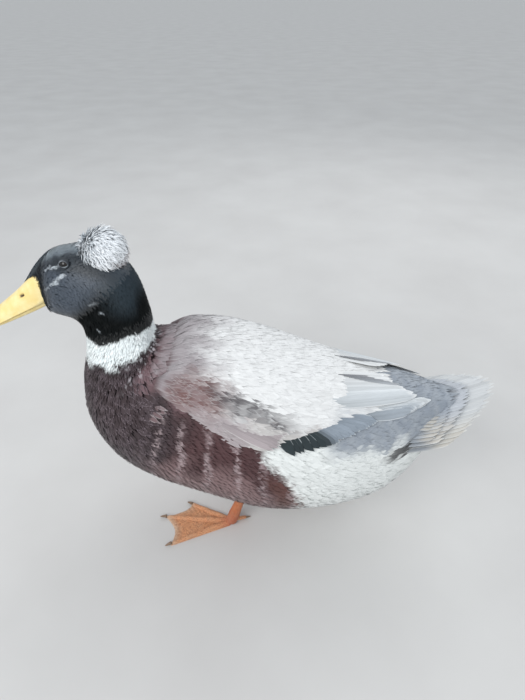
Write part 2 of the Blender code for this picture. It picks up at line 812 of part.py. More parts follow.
def make_leg(name, foot):
    """The shank from the ankle up into the feathered thigh, cut where the body begins."""
    base, top = leg_axis(foot)
    axis = (top - base).normalized()
    length = (top - base).length
    first = ANKLE_TOP + GAP
    rings = []
    for k, radius in enumerate(LEG_RADII):
        part = k / (len(LEG_RADII) - 1)
        rings.append(leg_ring(base + axis * (first + (length - first) * part), axis, radius))
    leg = loft(name, "foot_orange", rings)
    return apply_boolean(leg, [make_torso(GAP)], "DIFFERENCE")


def make_foot(name, foot):
    """Toes, web and ankle as one piece, flat on the floor."""
    base, top = leg_axis(foot)
    axis = (top - base).normalized()
    ankle = loft("ankle", "foot_orange", [
        leg_ring(base - axis * ANKLE_SINK, axis, ANKLE_RADIUS),
        leg_ring(base + axis * ANKLE_TOP, axis, LEG_RADII[0]),
    ])
    pieces = [ankle, make_web(foot)]
    for toe in ("outer", "middle", "inner"):
        start, end = toe_path(foot, toe)
        pieces.append(loft("toe", "foot_orange", toe_rings(start, end, TOE_RADII)))
        claw(f"{name}_claw_{toe}", start, end, TOE_RADII[1])
    start, end = toe_path(foot, "hallux")
    pieces.append(loft("toe", "foot_orange", toe_rings(start, end, HALLUX_RADII)))
    claw(f"{name}_claw_hallux", start, end, HALLUX_RADII[1])
    body = pieces.pop(0)
    body.name = name
    apply_boolean(body, pieces, "UNION")
    return apply_boolean(body, [block_below_floor()], "DIFFERENCE")


def block_below_floor():
    shape = bmesh.new()
    bmesh.ops.create_cube(shape, size=1.0)
    place = Matrix.Translation((0.0, 0.0, -SOLE_BLOCK.z / 2))
    bmesh.ops.transform(shape, matrix=place @ Matrix.Diagonal((*SOLE_BLOCK, 1.0)), verts=shape.verts)
    return mesh_object("below_floor", "foot_orange", shape)


def stand_on_origin():
    """Carry every piece on one empty, placed so that the outline is centred."""
    carrier = bpy.data.objects.new("duck", None)
    bpy.context.scene.collection.objects.link(carrier)
    carrier.location = -OUTLINE_MIDDLE
    for piece in list(bpy.context.scene.collection.objects):
        if piece is not carrier:
            piece.parent = carrier


clear_scene()
make_torso()
make_neck()
make_head()
make_eyes()
make_bill()
make_crest()
make_wing("wing_left", -1)
make_wing("wing_right", 1)
make_tail()
make_leg("leg_left", FOOT_LEFT)
make_leg("leg_right", FOOT_RIGHT)
make_foot("foot_left", FOOT_LEFT)
make_foot("foot_right", FOOT_RIGHT)
stand_on_origin()
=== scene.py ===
"""A crested drake in mid stride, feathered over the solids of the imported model."""

import math

import bmesh
import bpy
import numpy as np
from mathutils import Matrix, Vector


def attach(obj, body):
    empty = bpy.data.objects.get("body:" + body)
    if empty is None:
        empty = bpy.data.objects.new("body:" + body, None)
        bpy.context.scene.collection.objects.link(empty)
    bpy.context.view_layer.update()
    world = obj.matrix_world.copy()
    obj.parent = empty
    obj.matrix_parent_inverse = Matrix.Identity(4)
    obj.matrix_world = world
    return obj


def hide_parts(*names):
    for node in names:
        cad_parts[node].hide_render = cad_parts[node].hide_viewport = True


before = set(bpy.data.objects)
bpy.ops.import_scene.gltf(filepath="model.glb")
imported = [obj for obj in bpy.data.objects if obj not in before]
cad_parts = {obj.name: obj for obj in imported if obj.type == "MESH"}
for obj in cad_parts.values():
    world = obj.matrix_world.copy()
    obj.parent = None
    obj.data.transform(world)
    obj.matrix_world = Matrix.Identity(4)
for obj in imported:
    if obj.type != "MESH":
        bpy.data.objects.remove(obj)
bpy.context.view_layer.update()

# The place to look from
# A person stands a step away from the bird's left side and looks down on its back, so the
# camera is over the floor at knee height, tilted down by more than a third of a right angle.
CAMERA_PLACE = (0.0115, -0.4236, 0.520)
CAMERA_TILT = math.radians(90 - 34.5)
FOCAL_PIXELS = 527.0
PHOTO_HEIGHT = 700
SENSOR = 36.0

camera = bpy.data.objects.new("camera", bpy.data.cameras.new("camera"))
camera.data.sensor_fit = "VERTICAL"
camera.data.sensor_height = SENSOR
camera.data.lens = FOCAL_PIXELS * SENSOR / PHOTO_HEIGHT
camera.location = CAMERA_PLACE
camera.rotation_euler = (CAMERA_TILT, 0.0, 0.0)
bpy.context.scene.collection.objects.link(camera)
bpy.context.scene.camera = camera
bpy.context.scene.view_settings.view_transform = "Standard"


# The studio
# A wide pale floor under a bright even sky, with one large soft lamp over the bird's left
# shoulder and a weaker one behind it, which lifts the edge of the back.
FLOOR_SIZE = 160.0
SKY_COLOUR = (0.90, 0.95, 1.0, 1.0)
SKY_STRENGTH = 0.78
LAMP_AIM = Vector((0.0, 0.0, 0.18))


class Signal:
    """A number that runs through a material's nodes and can stand in a formula."""

    def __init__(self, finish, socket):
        self.finish = finish
        self.socket = socket

    def maths(self, operation, first, second):
        return self.finish.node("ShaderNodeMath", {"operation": operation}, {0: first, 1: second})

    def __add__(self, other):
        return self.maths("ADD", self, other)

    __radd__ = __add__

    def __sub__(self, other):
        return self.maths("SUBTRACT", self, other)

    def __rsub__(self, other):
        return self.maths("SUBTRACT", other, self)

    def __mul__(self, other):
        return self.maths("MULTIPLY", self, other)

    __rmul__ = __mul__

    def __truediv__(self, other):
        return self.maths("DIVIDE", self, other)

    def __abs__(self):
        return self.maths("ABSOLUTE", self, 0.0)

    def larger(self, other):
        return self.maths("MAXIMUM", self, other)

    def rising(self, low, high):
        """From 0 at low to 1 at high, with soft ends."""
        return self.finish.node(
            "ShaderNodeMapRange", {"interpolation_type": "SMOOTHSTEP"},
            {"Value": self, "From Min": low, "From Max": high},
        )


class Finish:
    """A material. Constants go on its shader, and all other nodes come from node()."""

    def __init__(self, name, **constants):
        self.material = bpy.data.materials.new(name)
        self.material.use_nodes = True
        self.tree = self.material.node_tree
        self.shader = self.tree.nodes["Principled BSDF"]
        for socket, value in constants.items():
            self.shader.inputs[socket.replace("_", " ")].default_value = value

    def feed(self, socket, value):
        if isinstance(value, Signal):
            self.tree.links.new(value.socket, socket)
        elif isinstance(value, np.ndarray):
            socket.default_value = (*value, 1.0)
        else:
            socket.default_value = value

    def node(self, kind, settings=None, inputs=None, output=0):
        made = self.tree.nodes.new(kind)
        for setting, value in (settings or {}).items():
            setattr(made, setting, value)
        for socket, value in (inputs or {}).items():
            self.feed(made.inputs[socket], value)
        return Signal(self, made.outputs[output])

    def mix(self, share, under, over, how="MIX"):
        """One colour over another."""
        return self.node(
            "ShaderNodeMix", {"data_type": "RGBA", "blend_type": how},
            {0: share, 6: under, 7: over}, output=2,
        )

    def parts(self, vector):
        """The three numbers of a vector."""
        split = self.node("ShaderNodeSeparateXYZ", None, {0: vector})
        return [Signal(self, socket) for socket in split.socket.node.outputs]

    def vector(self, *parts):
        return self.node("ShaderNodeCombineXYZ", None, dict(enumerate(parts)))

    def layer(self, name, output="Color"):
        """What a mesh holds at each of its points."""
        return self.node("ShaderNodeAttribute", {"attribute_name": name}, output=output)

    def place(self):
        return self.node("ShaderNodeTexCoord", output="Object")

    def noise(self, where, scale, detail=3.0, roughness=0.5):
        return self.node("ShaderNodeTexNoise", None, {
            "Vector": where, "Scale": scale, "Detail": detail, "Roughness": roughness,
        })

    def use(self, **inputs):
        """Feed the shader, such as its Base Color or Roughness."""
        for socket, value in inputs.items():
            self.feed(self.shader.inputs[socket.replace("_", " ")], value)

    def bump(self, height, strength, distance):
        self.use(Normal=self.node("ShaderNodeBump", None, {
            "Height": height, "Strength": strength, "Distance": distance,
        }))


def dye(red, green, blue):
    """A colour as numbers for the shader, from its red, green and blue out of 255."""
    shares = np.array([red, green, blue]) / 255
    return np.where(shares < 0.04045, shares / 12.92, ((shares + 0.055) / 1.055) ** 2.4)


world = bpy.data.worlds.new("sky")
world.use_nodes = True
sky = world.node_tree.nodes["Background"].inputs
sky["Color"].default_value = SKY_COLOUR
sky["Strength"].default_value = SKY_STRENGTH
bpy.context.scene.world = world

floor_mesh = bmesh.new()
bmesh.ops.create_grid(floor_mesh, x_segments=2, y_segments=2, size=FLOOR_SIZE / 2)
floor_data = bpy.data.meshes.new("floor")
floor_mesh.to_mesh(floor_data)
floor_mesh.free()
floor = bpy.data.objects.new("floor", floor_data)
bpy.context.scene.collection.objects.link(floor)
floor_finish = Finish("pale_floor", Roughness=0.9)
floor_grain = floor_finish.noise(floor_finish.place(), 6.0, detail=4.0)
floor_finish.use(Base_Color=floor_finish.mix(floor_grain, dye(196, 194, 192), dye(214, 213, 211)))
floor.data.materials.append(floor_finish.material)

for lamp_name, lamp_place, lamp_size, lamp_power in (
    ("key", (-0.80, -1.25, 1.25), 1.1, 19.0),
    ("back", (0.55, 1.10, 1.35), 1.0, 6.0),
):
    lamp = bpy.data.objects.new(lamp_name, bpy.data.lights.new(lamp_name, "AREA"))
    lamp.data.size = lamp_size
    lamp.data.energy = lamp_power
    lamp.location = lamp_place
    lamp.rotation_euler = (LAMP_AIM - lamp.location).to_track_quat("-Z", "Y").to_euler()
    bpy.context.scene.collection.objects.link(lamp)


# The skin
# One closed skin runs from the rump to the base of the bill. It lies under the coat, by a
# few millimetres on the body and less on the head, and has a hollow for each eye.
MM = 0.001
ZERO_X = 11.5
ROUNDNESS = 2.25
# One line for each ring from the tail to the bill, in mm from the body's own zero:
# back X, back Z, belly X, belly Z, half width
BODY_RINGS = np.array((
    (171.0, 186.0, 181.0, 128.0, 27.0),
    (140.0, 195.0, 152.0, 82.0, 47.0),
    (104.0, 202.0, 117.0, 58.0, 65.0),
    (58.0, 211.0, 62.0, 52.0, 83.0),
    (8.0, 226.0, 2.0, 55.0, 90.0),
    (-36.0, 239.0, -55.0, 75.0, 88.0),
    (-70.0, 244.0, -112.0, 95.0, 79.0),
    (-90.0, 243.0, -152.0, 122.0, 68.0),
    (-99.0, 243.0, -175.0, 165.0, 55.0),
    (-103.0, 246.0, -175.0, 205.0, 42.0),
    (-104.0, 255.0, -169.0, 232.0, 32.0),
    (-104.5, 269.0, -166.5, 250.0, 27.0),
    (-107.0, 286.0, -168.0, 263.0, 26.5),
    (-111.0, 303.0, -172.0, 269.5, 27.5),
    (-119.0, 319.0, -177.0, 272.5, 28.5),
    (-134.0, 332.0, -183.0, 274.0, 28.5),
    (-152.0, 338.5, -188.0, 275.0, 27.0),
    (-168.0, 337.5, -192.0, 275.5, 24.5),
    (-184.0, 333.5, -193.0, 276.0, 20.0),
    (-198.5, 321.5, -196.0, 278.5, 11.0),
    (-213.0, 303.5, -199.0, 283.0, 5.5),
))
BILL_PLACE = len(BODY_RINGS) - 1.0
# How deep the skin lies under the coat, at places along the body
COAT_PLACES = (0.0, 2.0, 8.0, 10.0, 12.0, 15.0, 19.0, 20.0)
COAT_DEPTHS = (4.0, 6.0, 5.0, 4.0, 2.4, 1.8, 1.2, 0.6)
EYE_RADIUS = 5.3
EYE_PLACE = np.array((-166.0, 15.9, 327.8))
EYE_HOLLOW = 1.5
EYE_HOLLOW_SIZE = 3.4
# The head starts here along the body, and the eyes' hollows stay this far from its middle
HEAD_PLACE = 14
EYE_INNERMOST = 10
# No feather of the coat grows this near to an eye, unless it is this near to the middle
EYE_BARE = 4.2
EYE_BARE_INNERMOST = 8
SKIN_SIDES = 120
SKIN_STEP = 0.1
BAKE_PATCH = 0.003
SKIN_SHADE = 0.85
# Where along a feather the skin takes its shade from
SKIN_PART = 0.8
MOTTLE_WAVES = 10


def row_at(table, place):
    """The row of a table at each place, on one smooth curve through all its rows, which goes
    straight on past the ends."""
    last = len(table) - 1
    inside = np.clip(place, 0, last)
    beyond = (place - inside)[..., None]
    index = np.clip(np.floor(inside).astype(int), 0, last - 1)
    part = (inside - index)[..., None]
    before = table[np.maximum(index - 1, 0)]
    start = table[index]
    end = table[index + 1]
    after = table[np.minimum(index + 2, last)]
    slope = end - before
    bend = 2 * before - 5 * start + 4 * end - after
    twist = 3 * (start - end) + after - before
    row = start + 0.5 * part * (slope + part * (bend + part * twist))
    return row + beyond * (table[index + 1] - table[index])


def on_body(place, turn):
    """Points of the body's outline, in mm. Turn 0 is the back, and it grows to the left."""
    back_x, back_z, belly_x, belly_z, half_width = np.moveaxis(row_at(BODY_RINGS, place), -1, 0)
    power = 2.0 / ROUNDNESS
    up = np.copysign(np.abs(np.cos(turn)) ** power, np.cos(turn))
    side = np.copysign(np.abs(np.sin(turn)) ** power, np.sin(turn))
    return np.stack((
        (back_x + belly_x) / 2 + (back_x - belly_x) / 2 * up,
        -half_width * side,
        (back_z + belly_z) / 2 + (back_z - belly_z) / 2 * up,
    ), axis=-1)


def unit(vectors):
    return vectors / np.maximum(np.linalg.norm(vectors, axis=-1, keepdims=True), 1e-9)


def body_ways(place, turn, step=0.02):
    """Points on the body, and the ways to the tail, round the body and out of it."""
    here = on_body(place, turn)
    tailward = (here - on_body(place + step, turn)) / step
    around = (on_body(place, turn + step) - here) / step
    return here, tailward, around, unit(np.cross(around, tailward))


def body_paces(place, turn):
    """How far in mm one place runs along the body, and one radian round it."""
    _, tailward, around, _ = body_ways(place, turn)
    return np.linalg.norm(tailward, axis=-1), np.linalg.norm(around, axis=-1)


def rise(value, low, high):
    """From 0 at low to 1 at high, with soft ends."""
    share = np.clip((value - low) / (high - low), 0.0, 1.0)
    return share * share * (3 - 2 * share)


def mottle(points, size, seed):
    """A smooth random field from -1 to 1, with blotches of about the given size in mm."""
    draw = np.random.default_rng(seed)
    field = np.zeros(points.shape[:-1])
    for _ in range(MOTTLE_WAVES):
        way = unit(draw.normal(size=3)) * math.tau / (size * draw.uniform(1.4, 3.2))
        field += np.cos(points @ way + draw.uniform(0, math.tau))
    return np.tanh(field * 0.55)


def paint(tint, *layers):
    """A colour with others over it, each with its share of what is seen."""
    for colour, share in layers:
        tint = tint + (colour - tint) * share[..., None]
    return tint


def plain(colour, points):
    """One colour at each of the points."""
    return np.broadcast_to(colour, points.shape)


def ring_borders(turn):
    """The lower and the upper border of the white neck ring, as places along the body."""
    angle = np.degrees(np.abs(turn))
    lower = np.interp(angle, (0, 13, 79, 108, 146, 180), (8.95, 9.0, 9.25, 9.55, 9.8, 9.9))
    upper = np.interp(angle, (0, 12, 68, 106, 133, 180), (10.3, 10.34, 10.78, 10.6, 11.05, 11.3))
    return lower, upper


BREAST = dye(46, 30, 34)
BREAST_EDGE = dye(130, 116, 123)
FLANK = dye(74, 44, 46)
FLANK_LOW = dye(138, 112, 112)
FLANK_BAR = dye(178, 160, 162)
SHOULDER = dye(106, 80, 84)
MANTLE = dye(150, 140, 143)
REAR_WHITE = dye(228, 231, 229)
RUMP_GREY = dye(136, 144, 155)
GAP_SHADE = dye(34, 34, 36)
CHESTNUT = dye(88, 50, 42)
RING_WHITE = dye(244, 250, 250)
FLECK_WHITE = dye(190, 186, 190)
NECK_BLACK = dye(8, 12, 13)
NAPE_SLATE = dye(52, 62, 69)
HEAD_SLATE = dye(64, 74, 86)
# A painted highlight of the sky along the top of the head.
CROWN_HIGHLIGHT = dye(132, 144, 152)
# A painted shadow round the eye and above it, under the brow.
EYE_SHADOW = dye(30, 38, 45)
FACE_FLECK_AND_SHEEN = dye(196, 204, 210)
# Pale marks on the face, partly pale flecks of dirt on the feathers and partly painted highlights
# of sheen on wet feathers: place and angle of both ends, half width in mm, and strength
FACE_FLECKS_AND_SHEEN = (
    (16.90, 77, 16.42, 66, 1.4, 0.85),
    (17.25, 81, 16.60, 79, 0.8, 0.7),
    (17.90, 89, 17.40, 86, 0.7, 0.5),
    (17.85, 55, 17.55, 49, 0.8, 0.8),
    (17.45, 55, 17.22, 50, 0.8, 0.75),
    (17.12, 54, 16.97, 49, 0.8, 0.7),
    (14.01, 93, 13.75, 83, 0.5, 0.35),
    (12.96, 90, 12.84, 87, 0.5, 0.5),
    (11.74, 108, 11.62, 105, 0.5, 0.5),
)
HEAD_STEP = 8.0
HEAD_DEGREE = 0.45


def patch(place, angle, middle, size, soft=0.4):
    """How much a feather belongs to an oval patch of the plumage, with a soft edge."""
    away = np.hypot((place - middle[0]) / size[0], (angle - middle[1]) / size[1])
    return rise(1.0 + soft / 2 - away, 0.0, soft)


def face_flecks_and_sheen(place, angle):
    """How strongly the pale marks of the face, dirt flecks and painted highlights of sheen, show
    at each place.
    """
    found = np.zeros(place.shape)
    for first, first_angle, last, last_angle, half, strength in FACE_FLECKS_AND_SHEEN:
        start = np.array((first * HEAD_STEP, first_angle * HEAD_DEGREE))
        run = np.array((last * HEAD_STEP, last_angle * HEAD_DEGREE)) - start
        here = np.stack((place * HEAD_STEP, angle * HEAD_DEGREE), axis=-1) - start
        part = np.clip(here @ run / (run @ run), 0.0, 1.0)
        away = np.linalg.norm(here - part[..., None] * run, axis=-1)
        found = np.maximum(found, strength * rise(1.5 - away / half, 0.0, 1.0))
    return found


def body_plumage(place, turn, points):
    """The colours of the body's feathers and of their fringes, by where they are seen."""
    angle = np.degrees(np.abs(turn))
    blotch = mottle(points, 16.0, 3)
    fine = mottle(points, 5.0, 4)
    fleck = mottle(points, 2.6, 8)
    lower, upper = ring_borders(turn)

    low = rise(angle + 8 * blotch, 86, 108) * rise(6.8 - place, 0.0, 1.5) * rise(place, 3.4, 4.3)
    shoulder = rise(60 - angle + 6 * blotch, 0, 14) * rise(8.5 - place + 0.3 * fine, 0.0, 0.7)
    mantle = rise(48 - angle + 8 * blotch, 0, 20) * rise(7.7 - place + 0.3 * fine, 0.0, 1.0)
    speck = rise(fleck, 0.74, 0.96) * rise(place, 7.5, 8.2) * rise(84 - angle, 0, 30)
    border = np.interp(
        angle, (0, 50, 70, 86, 98, 116, 140, 180), (2.7, 3.7, 4.2, 3.72, 3.42, 3.4, 3.5, 3.6)
    )
    rust = rise(0.40 - np.abs(place - border - 0.14), 0.0, 0.25) * rise(angle, 80, 96)
    rear = rise(border - place + 0.10 * fine, -0.08, 0.10)
    rump_edge = 83 + 6 * blotch + 7 * np.maximum(1.3 - place, 0.0)
    rump = rise(3.1 - place, 0.0, 0.4) * rise(rump_edge - angle, 0, 16)
    gap = patch(place, angle, (0.95, 85.0), (0.75, 5.5), soft=0.8)
    crown = 38 + 5 * fine + 12 * rise(place, 17.2, 18.4)
    tint = paint(
        plain(BREAST, points),
        (FLANK, rise(6.4 - place + 0.2 * blotch, 0.0, 1.3)),
        (FLANK_LOW, 0.85 * low),
        (SHOULDER, shoulder),
        (MANTLE, mantle),
        (FLECK_WHITE, 0.75 * speck),
        (CHESTNUT, 0.9 * rust * rise(130 - angle, 0, 14)),
        (REAR_WHITE, rear),
        (RUMP_GREY, rump * (0.90 + 0.07 * fine)),
        (GAP_SHADE, 0.9 * gap * rise(fine, -1.6, -0.4)),
        (RING_WHITE, rise(place - lower + 0.14 * fine + 0.08 * fleck, -0.10, 0.16)),
        (NECK_BLACK, rise(place - upper + 0.06 * fine, -0.04, 0.06)),
        (NAPE_SLATE, rise(place + 0.3 * blotch, 11.6, 13.0) * rise(95 - angle, 0, 50)),
        (HEAD_SLATE, rise(place + 0.25 * blotch, 13.2, 15.4)),
        # Painted highlight of the sky on the top of the head, reaching further down at the
        # forehead.
        (CROWN_HIGHLIGHT, rise(place, 14.5, 16.0) * rise(crown - angle, 0, 26)),
        # Painted shadow round the eye, under the brow.
        (EYE_SHADOW, 0.9 * patch(place, angle, (16.1, 43.0), (1.9, 19.0), soft=0.8)),
        # Pale dirt flecks on the face, with painted highlights of sheen among them.
        (FACE_FLECK_AND_SHEEN, face_flecks_and_sheen(place, angle) * rise(fleck, -1.8, -0.2)),
    )

    fringe = 0.16 + 0.12 * fine
    edge = tint + (0.06 + 0.30 * tint) * fringe[..., None]
    scaly = rise(place, 5.6, 6.6) * rise(lower - place, 0.0, 0.2) * rise(angle, 34, 58)
    ridge = rise(mottle(points * (0.5, 1.0, 1.0), 4.0, 9), -0.5, 0.5)
    wave = np.cos(math.tau * (place / 0.52 + 0.10 * blotch + 0.0025 * angle))
    bars = rise(angle, 60, 74) * rise(6.7 - place, 0.0, 0.5) * (1 - rear) * rise(wave, 0.62, 0.98)
    bars = bars * (1 - 0.5 * rise(angle, 96, 116)) * rise(fleck, -0.7, 0.3)
    tint = paint(tint, (BREAST_EDGE, 0.10 * scaly * ridge), (FLANK_BAR, 0.72 * bars))
    edge = paint(edge, (BREAST_EDGE, 0.9 * scaly * ridge), (FLANK_BAR, 0.9 * bars))
    return tint, edge


def feather_finish(
    name, barb_depth, streak, roughness=0.72, sheen=0.2, shaft=0.0, depth_shade=0.2, fringe=0.55,
    grain=0.0, shine=0.5,
):
    """Feathers: their own tint, a fringe, slanting barbs and a shade under the next row."""
    finish = Finish(
        name, Roughness=roughness, Sheen_Weight=sheen, Sheen_Roughness=0.45,
        Specular_IOR_Level=shine,
    )
    across, along, number = finish.parts(finish.layer("vane", "Vector"))
    out = abs(across)
    rim = out.larger((along - 0.72) / 0.28)
    coloured = finish.mix(rim.rising(fringe, 1.0), finish.layer("tint"), finish.layer("edge"))
    slanting = finish.vector(along * 26.0 - out * 7.0, across * 1.2, number * 43.0)
    barbs = finish.noise(slanting, 1.0, detail=4.0, roughness=0.6)
    light = (barbs - 0.5) * (2 * streak) + 1.0 - depth_shade
    light = light + along.rising(0.0, 0.75) * depth_shade
    if grain:
        lengthwise = finish.vector(along * 1.6 + out, across * 5.0, number * 31.0)
        light = light + (finish.noise(lengthwise, 1.0, detail=4.0, roughness=0.7) - 0.5) * grain
    if shaft:
        light = light - (1 - out.rising(0.02, 0.09)) * shaft
    shade = finish.vector(light, light, light)
    finish.use(Base_Color=finish.mix(1.0, coloured, shade, "MULTIPLY"))
    finish.bump(barbs, 0.5, barb_depth)
    return finish.material


def grid_mesh(name, points, closed=False):
    """A mesh of one or many grids of points. Points are in mm from the body's own zero."""
    count, rows, columns = points.shape[:3]
    index = np.arange(rows * columns).reshape(rows, columns)
    if closed:
        index = np.concatenate((index, index[:, :1]), axis=1)
    quads = np.stack(
        (index[:-1, :-1], index[:-1, 1:], index[1:, 1:], index[1:, :-1]), axis=-1
    ).reshape(-1, 4)
    quads = (quads[None] + (np.arange(count) * rows * columns)[:, None, None]).reshape(-1)
    mesh = bpy.data.meshes.new(name)
    mesh.vertices.add(count * rows * columns)
    placed = (points.reshape(-1, 3) + (ZERO_X, 0.0, 0.0)) * MM
    mesh.vertices.foreach_set("co", placed.astype(np.float32).ravel())
    mesh.loops.add(len(quads))
    mesh.loops.foreach_set("vertex_index", quads.astype(np.int32))
    mesh.polygons.add(len(quads) // 4)
    mesh.polygons.foreach_set("loop_start", np.arange(0, len(quads), 4, dtype=np.int32))
    mesh.update(calc_edges=True)
    mesh.shade_smooth()
    return mesh, quads


def add_colour(mesh, name, colours):
    """A colour for each point of a mesh."""
    flat = np.concatenate((colours.reshape(-1, 3), np.ones((colours.size // 3, 1))), axis=1)
    layer = mesh.attributes.new(name, "FLOAT_COLOR", "POINT")
    layer.data.foreach_set("color", np.clip(flat, 0.0, 1.0).astype(np.float32).ravel())


def add_vane(mesh, across, along, number):
    """Where each point is on its feather, and a number that tells the feathers apart."""
    vectors = np.stack(np.broadcast_arrays(across, along, number), axis=-1)
    layer = mesh.attributes.new("vane", "FLOAT_VECTOR", "POINT")
    layer.data.foreach_set("vector", vectors.astype(np.float32).ravel())


def add_bake_map(mesh, quads, across, along):
    """The map that a baked picture uses, from one place for each point of the mesh."""
    corners = np.stack((across, along), axis=-1).reshape(-1, 2)[quads]
    mesh.uv_layers.new(name="OFBake").data.foreach_set("uv", corners.astype(np.float32).ravel())


def show(mesh, name, material, slot, *replaced):
    """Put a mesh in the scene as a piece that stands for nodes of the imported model."""
    mesh.materials.append(material)
    piece = bpy.data.objects.new(name, mesh)
    bpy.context.scene.collection.objects.link(piece)
    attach(piece, "root")
    if replaced:
        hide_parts(*replaced)


def capped(rings):
    """Rings of points with both ends drawn together to a point."""
    first, last = (np.broadcast_to(rings[k].mean(axis=0), rings[k].shape) for k in (0, -1))
    return np.concatenate((first[None], rings, last[None]))


def tinted(name, points, colours, finish, slot, *replaced, closed=True):
    """A piece made of one grid of points, with a colour at each."""
    mesh, _ = grid_mesh(name, points[None], closed=closed)
    add_colour(mesh, "tint", colours)
    show(mesh, name, finish.material, slot, *replaced)


def feather_bed(
    name, points, tint, edge, number, roots, finish, slot, *replaced, closed=True
):
    """A piece made of one grid of points, which closes the gaps between feathers."""
    mesh, quads = grid_mesh(name, points[None], closed=closed)
    add_colour(mesh, "tint", tint)
    add_colour(mesh, "edge", edge)
    add_vane(mesh, 0.0, SKIN_PART, number)
    add_bake_map(mesh, quads, *roots)
    show(mesh, name, finish, slot, *replaced)


def ball_ways(rows, sides, first, second, pole):
    """The ways out of a ball, with their tilt from its pole and their turn round it."""
    tilt, turn = np.meshgrid(
        np.linspace(0.0, math.pi, rows), np.linspace(0.0, math.tau, sides + 1)[:-1], indexing="ij"
    )
    way = (
        pole * np.cos(tilt)[..., None]
        + first * (np.sin(tilt) * np.cos(turn))[..., None]
        + second * (np.sin(tilt) * np.sin(turn))[..., None]
    )
    return way, tilt, turn


def body_roots(place, turn):
    """Where feathers grow, on the skin's map."""
    return turn / math.tau + 0.5, place / BILL_PLACE


def eye_distance(points):
    """How far points lie from the nearer eye's middle, along the side of the head."""
    away = points - EYE_PLACE * (1, 0, 1)
    return np.hypot(away[..., 0] * 0.95, (away[..., 2] - 1.8) * 1.25)


skin_places = np.arange(0.0, BILL_PLACE + SKIN_STEP / 2, SKIN_STEP)
skin_turns = np.linspace(-math.pi, math.pi, SKIN_SIDES + 1)[:-1]
place_grid, turn_grid = np.meshgrid(skin_places, skin_turns, indexing="ij")
skin_points, _, _, skin_out = body_ways(place_grid, turn_grid)
skin_tint, skin_edge = body_plumage(place_grid, turn_grid, skin_points)
skin_depth = np.interp(place_grid, COAT_PLACES, COAT_DEPTHS)
on_head_side = (place_grid > HEAD_PLACE) & (np.abs(skin_points[..., 1]) > EYE_INNERMOST)
hollow = np.exp(-((eye_distance(skin_points) / EYE_HOLLOW_SIZE) ** 2)) * on_head_side
skin_depth += EYE_HOLLOW * hollow
skin_points -= skin_out * skin_depth[..., None]
place_grid, turn_grid, skin_tint, skin_edge = (
    np.concatenate((grid[:1], grid, grid[-1:]))
    for grid in (place_grid, turn_grid, skin_tint, skin_edge)
)
body_down = feather_finish("body_down", 0.0004, 0.10)
feather_bed(
    "skin", capped(skin_points), skin_tint * SKIN_SHADE, skin_edge * SKIN_SHADE, place_grid,
    body_roots(place_grid, turn_grid), body_down, "body_feathers", "torso", "neck", "head",
)


# The coat of the body, neck and head
# Small feathers in rows lie over the skin like shingles, with their tips to the tail. They
# are tiny on the face, narrow and soft on the neck ring, and broad with fringes behind it.
COAT_CAMBER = 0.10
# How finely a ring round the body is measured, and how far feathers stray from their even
# places round the body and along it, as parts of their spacing
RING_STEPS = 240
STRAY_ROUND = 0.22
STRAY_ALONG = 0.35
# One line for each ring of the folded wing: place, upper and lower edge in degrees from the
# spine, and height over the body in mm
WING_RINGS = np.array((
    (1.7, 22.0, 44.0, 1.2),
    (2.4, 10.0, 49.0, 2.2),
    (3.0, 5.0, 54.0, 3.4),
    (4.0, 3.5, 66.0, 6.5),
    (5.0, 5.0, 64.0, 7.0),
    (6.0, 17.0, 55.0, 6.0),
    (6.9, 38.0, 50.0, 3.0),
))


def wing_across(place, turn):
    """How far a place lies over the folded wing, from 0 at its upper to 1 at its lower edge,
    and the height of the wing there. Both are outside that range off the wing."""
    knots = np.interp(place, WING_RINGS[:, 0], np.arange(len(WING_RINGS)))
    _, upper, lower, height = np.moveaxis(row_at(WING_RINGS, knots), -1, 0)
    across = (np.degrees(np.abs(turn)) - upper) / (lower - upper)
    along = (place > WING_RINGS[0, 0]) & (place < WING_RINGS[-1, 0])
    return np.where(along, across, -1.0), height


def no_lift(place, turn):
    return np.zeros_like(place)


def wing_lift(place, turn):
    """The height of the folded wing over the body, falling off to nothing at its edges."""
    across, height = wing_across(place, turn)
    inside = np.clip(2 * across - 1, -1.0, 1.0)
    return (0.4 + height) * (1 - np.abs(inside) ** 3)


def scatter(first, last, spacing, seed, low=-180, high=180):
    """Staggered places from first to last along the body and from low to high round it, in
    degrees, evenly spread about the given spacing apart in mm, along and across."""
    draw = np.random.default_rng(seed)
    found = []
    place = first
    odd = 0.0
    while place < last:
        turns = np.linspace(math.radians(low), math.radians(high), RING_STEPS)
        ring = on_body(np.full(RING_STEPS, place), turns)
        steps = np.linalg.norm(np.diff(ring, axis=0), axis=1)
        length = np.concatenate(([0.0], np.cumsum(steps)))
        count = max(2, int(length[-1] / spacing[1]))
        stray = draw.uniform(-STRAY_ROUND, STRAY_ROUND, count)
        marks = (np.arange(count) + 0.5 + odd * 0.5 + stray) / count
        turn = np.interp(marks % 1.0, length / length[-1], turns)
        reach, _ = body_paces(np.full(count, place), turn)
        farthest = reach.max()
        stray = draw.uniform(-STRAY_ALONG, STRAY_ALONG, count) * spacing[0] / farthest
        kept = draw.uniform(0, 1, count) < reach / farthest
        found.append(np.stack((place + stray, turn), axis=1)[kept])
        place += spacing[0] / farthest
        odd = 1.0 - odd
    return np.concatenate(found).T


# How wide feathers are along their length, as parts of the length and of the greatest width
BROAD = ((0.0, 0.25, 0.6, 0.85, 1.0), (0.45, 0.85, 1.0, 0.86, 0.42))
SLENDER = ((0.0, 0.3, 0.7, 1.0), (0.5, 1.0, 0.8, 0.15))
SOFT = ((0.0, 0.3, 0.65, 0.88, 1.0), (0.6, 0.95, 1.0, 0.75, 0.22))
ROUND_TIP = 0.75


def vane_ways(rows, columns):
    """How far each point of a feather's grid lies along it and across it."""
    part = np.linspace(0.0, 1.0, rows)[None, :, None]
    across = np.linspace(-1.0, 1.0, columns)[None, None, :]
    return part, across


